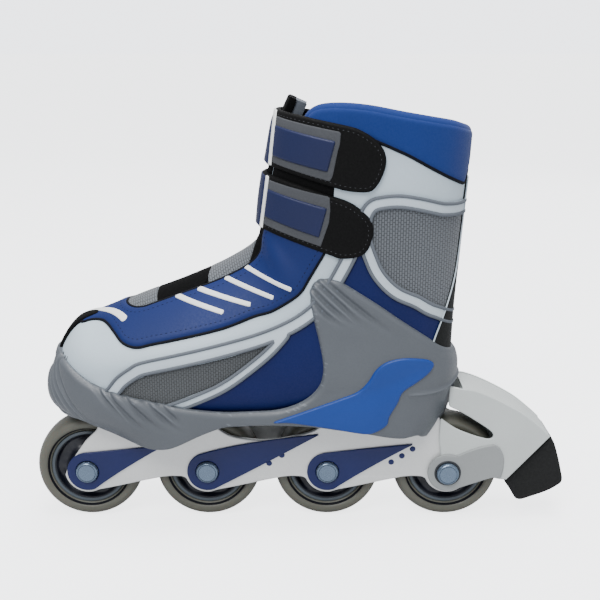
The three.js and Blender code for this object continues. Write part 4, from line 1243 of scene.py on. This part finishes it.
# Brake outlines, from the rear axle.
HOOD_TOP = [(8.5, 59.4), (14, 58.8), (23.4, 55.6), (36, 49.6), (50, 41.4), (62, 31.6), (68, 25.9)]
HOOD_LOW = [(40, -5.6), (35, -5.2), (29.3, -4.4), (18, -8), (7.5, -11.4)]
HOOD_FRONT = [(-5, 12.3), (-6.4, 24), (-6, 37.6)]
SHOULDER = [(-5.2, 38.6), (.5, 34.2), (5, 31.4), (10, 29.2), (14.8, 27.3), (19.5, 25.7), (24, 24.5),
            (27.6, 24.2), (29.6, 25.8), (28.9, 28.4), (25.8, 31.3), (17.1, 37.2), (11.4, 40.8), (5.7, 44.1),
            (1.2, 46.2), (-.8, 48.4), (-.8, 56)]
ARM_TOP = [(5.9, 12.4), (13, 15.6), (20, 18.2), (27, 19.9), (31, 20.2), (35, 17), (37.6, 10), (37.4, 2)]
ARM_LOW = [(36, -3.6), (29.3, -4), (18, -7.8), (6, -11.9)]


SEAT = [(68, 25.5), (61, 17.6), (54.1, 9.9), (47, 2.1), (40.2, -5.4)]
PAD_TOP = [(40.6, -6.4), (54.5, 9), (68.4, 24.4)]
PAD_LOW = [(69.4, 24.2), (72.6, 18), (76, 7), (78.2, -2), (79.2, -6.4), (78.8, -9.2), (77, -11.2),
           (72, -14.6), (66, -17.4), (59, -20), (52.6, -22.2), (49.6, -22.2), (47.4, -20.8), (43.6, -14.4),
           (40.2, -9.4), (39.8, -8)]


def curve_from_rear(points, per=4):
    return spline(from_rear(points), per).tolist()


def make_brake():
    """The bracket's two sides, each with the arm from the axle, the walls between them and the rubber pad."""
    inner, outer = PLATE_OUT + .3, 1000 * abs(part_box("brake_bracket")[0].y)
    last = AXLES[-1]
    hood = curve_from_rear([(-.8, 61.6)] + HOOD_TOP) + curve_from_rear(HOOD_LOW)
    hood += arc(last, AXLE_Z, 13.2, 300, 112, 40) + from_rear(HOOD_FRONT) + curve_from_rear(SHOULDER)
    arm = curve_from_rear(ARM_TOP) + curve_from_rear(ARM_LOW) + arc(last, AXLE_Z, 13.4, 297, 64, 40)
    for side, sign in SIDES:
        ends = sorted((inner * sign, (outer - .8) * sign))
        piece = plate(f"brake_hood_{side}", [hood], *ends, MAT["bracket"], .8, slot="bracket")
        if side == "left":
            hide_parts("brake_bracket")
        ends = sorted((sign * (inner + .4), sign * (outer + .5)))
        # The arm's darker material is painted shade on the bracket's plastic.
        plate(f"brake_arm_{side}", [arm], *ends, MAT["arm"], .9, slot="bracket")
    roof_piece("brake_roof", from_rear(HOOD_TOP), inner + .8, 2.6)
    roof_piece("brake_seat", from_rear(SEAT), inner + .8, 2.4)
    lo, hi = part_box("brake_pad")
    shape = curve_from_rear(PAD_TOP, 3) + curve_from_rear(PAD_LOW, 3)
    pad = plate("brake_pad_block", [shape], 1000 * lo.y, 1000 * hi.y, MAT["pad"], 1.6, slot="pad_rubber")
    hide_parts("brake_pad")


ROOF_CROWN = 1.1


def roof_piece(name, line, half, thick):
    """A wall across the bracket that follows a line in the side view, crowned over its width."""
    p = spline(line, 6)
    n = left_of(np.gradient(p, axis=0))
    rows = []
    for y in np.linspace(-1, 1, 25):
        rows.append((y, -ROOF_CROWN * abs(y) ** 6))
    rows += [(y, -thick - .2) for y, _ in reversed(rows)]
    rows.append(rows[0])
    g = np.array([np.insert(p + n * h, 1, y * half, 1) for y, h in rows])
    skin = grid_skin(g)
    add_mesh(name, skin.p, skin.tris, MAT["bracket"], SKATE, skin.uv, 35)


def dress_cad():
    """The small fasteners and bearings keep their CAD shape, with eased edges and a metal surface."""
    for node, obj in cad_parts.items():
        if obj.hide_render:
            continue
        obj.data.materials.clear()
        obj.data.materials.append(MAT["steel"])
        ease = obj.modifiers.new("ease", "BEVEL")
        ease.width, ease.segments, ease.limit_method = .0003, 2, "ANGLE"


# ---- Stage ----------------------------------------------------------------------------------

# name, place, target, size in metres, power in watts
LAMPS = (("key", (-.5, -1.2, 1.5), (0, 0, .12), .7, 27), ("fill", (1.3, -1.1, .6), (0, 0, .12), 1.2, 3),
         ("top", (.05, -.1, 1.6), (0, 0, .1), .8, 29), ("back", (.4, 1.4, .9), (0, 0, .15), 1.2, 6))
SKY, SKY_SEEN = .78, 3.4
PAPER_GLOW, PAPER_SEEN = .05, 2.9


def brighter_to_the_camera(tree, strength, lit, seen):
    """Drives a strength so that the backdrop looks brighter than the light it gives."""
    path = new_node(tree, "ShaderNodeLightPath")
    tree.links.new(ramp(tree, path.outputs["Is Camera Ray"], 0, 1, lit, seen), strength)


def make_stage():
    bpy.ops.mesh.primitive_plane_add(size=1)
    floor = bpy.context.object
    floor.name = "floor"
    floor.scale = (30, 30, 1)
    paper = surface("floor_paper", (205, 206, 208), .9, plastic_height, 3, .02, .01, 2, fleck=0)
    shader = paper.node_tree.nodes["Principled BSDF"]
    shader.inputs["Emission Color"].default_value = (.97, .98, 1, 1)
    brighter_to_the_camera(paper.node_tree, shader.inputs["Emission Strength"], PAPER_GLOW, PAPER_SEEN)
    floor.data.materials.append(paper)
    world = bpy.data.worlds.new("studio")
    bpy.context.scene.world = world
    world.use_nodes = True
    sky = world.node_tree.nodes["Background"]
    sky.inputs["Color"].default_value = (.93, .95, 1, 1)
    brighter_to_the_camera(world.node_tree, sky.inputs["Strength"], SKY, SKY_SEEN)
    for name, place_at, target, size, power in LAMPS:
        light = bpy.data.lights.new(name, "AREA")
        light.energy, light.size = power, size
        lamp = bpy.data.objects.new(name, light)
        lamp.location = place_at
        lamp.rotation_euler = (Vector(target) - Vector(place_at)).to_track_quat("-Z", "Y").to_euler()
        bpy.context.scene.collection.objects.link(lamp)


def make_camera():
    cam = bpy.data.cameras.new("camera")
    cam.lens, cam.sensor_width = 60, 36
    obj = bpy.data.objects.new("camera", cam)
    obj.location = (-.0002, -.6404, .3228)
    target = Vector((-.0002, 0, .1512))
    obj.rotation_euler = (target - obj.location).to_track_quat("-Z", "Y").to_euler()
    bpy.context.scene.collection.objects.link(obj)
    bpy.context.scene.camera = obj


make_camera()
make_stage()
make_upper()
make_tongue()
make_insole()
make_shell()
for strap_name, strap_shapes in STRAPS.items():
    make_strap(strap_name, strap_shapes)
for number in (1, 2, 3, 4):
    make_wheel(number)
    for axle_side, axle_sign in SIDES:
        make_axle(number, axle_side, axle_sign)
make_frame()
make_brake()
dress_cad()
bpy.context.view_layer.update()
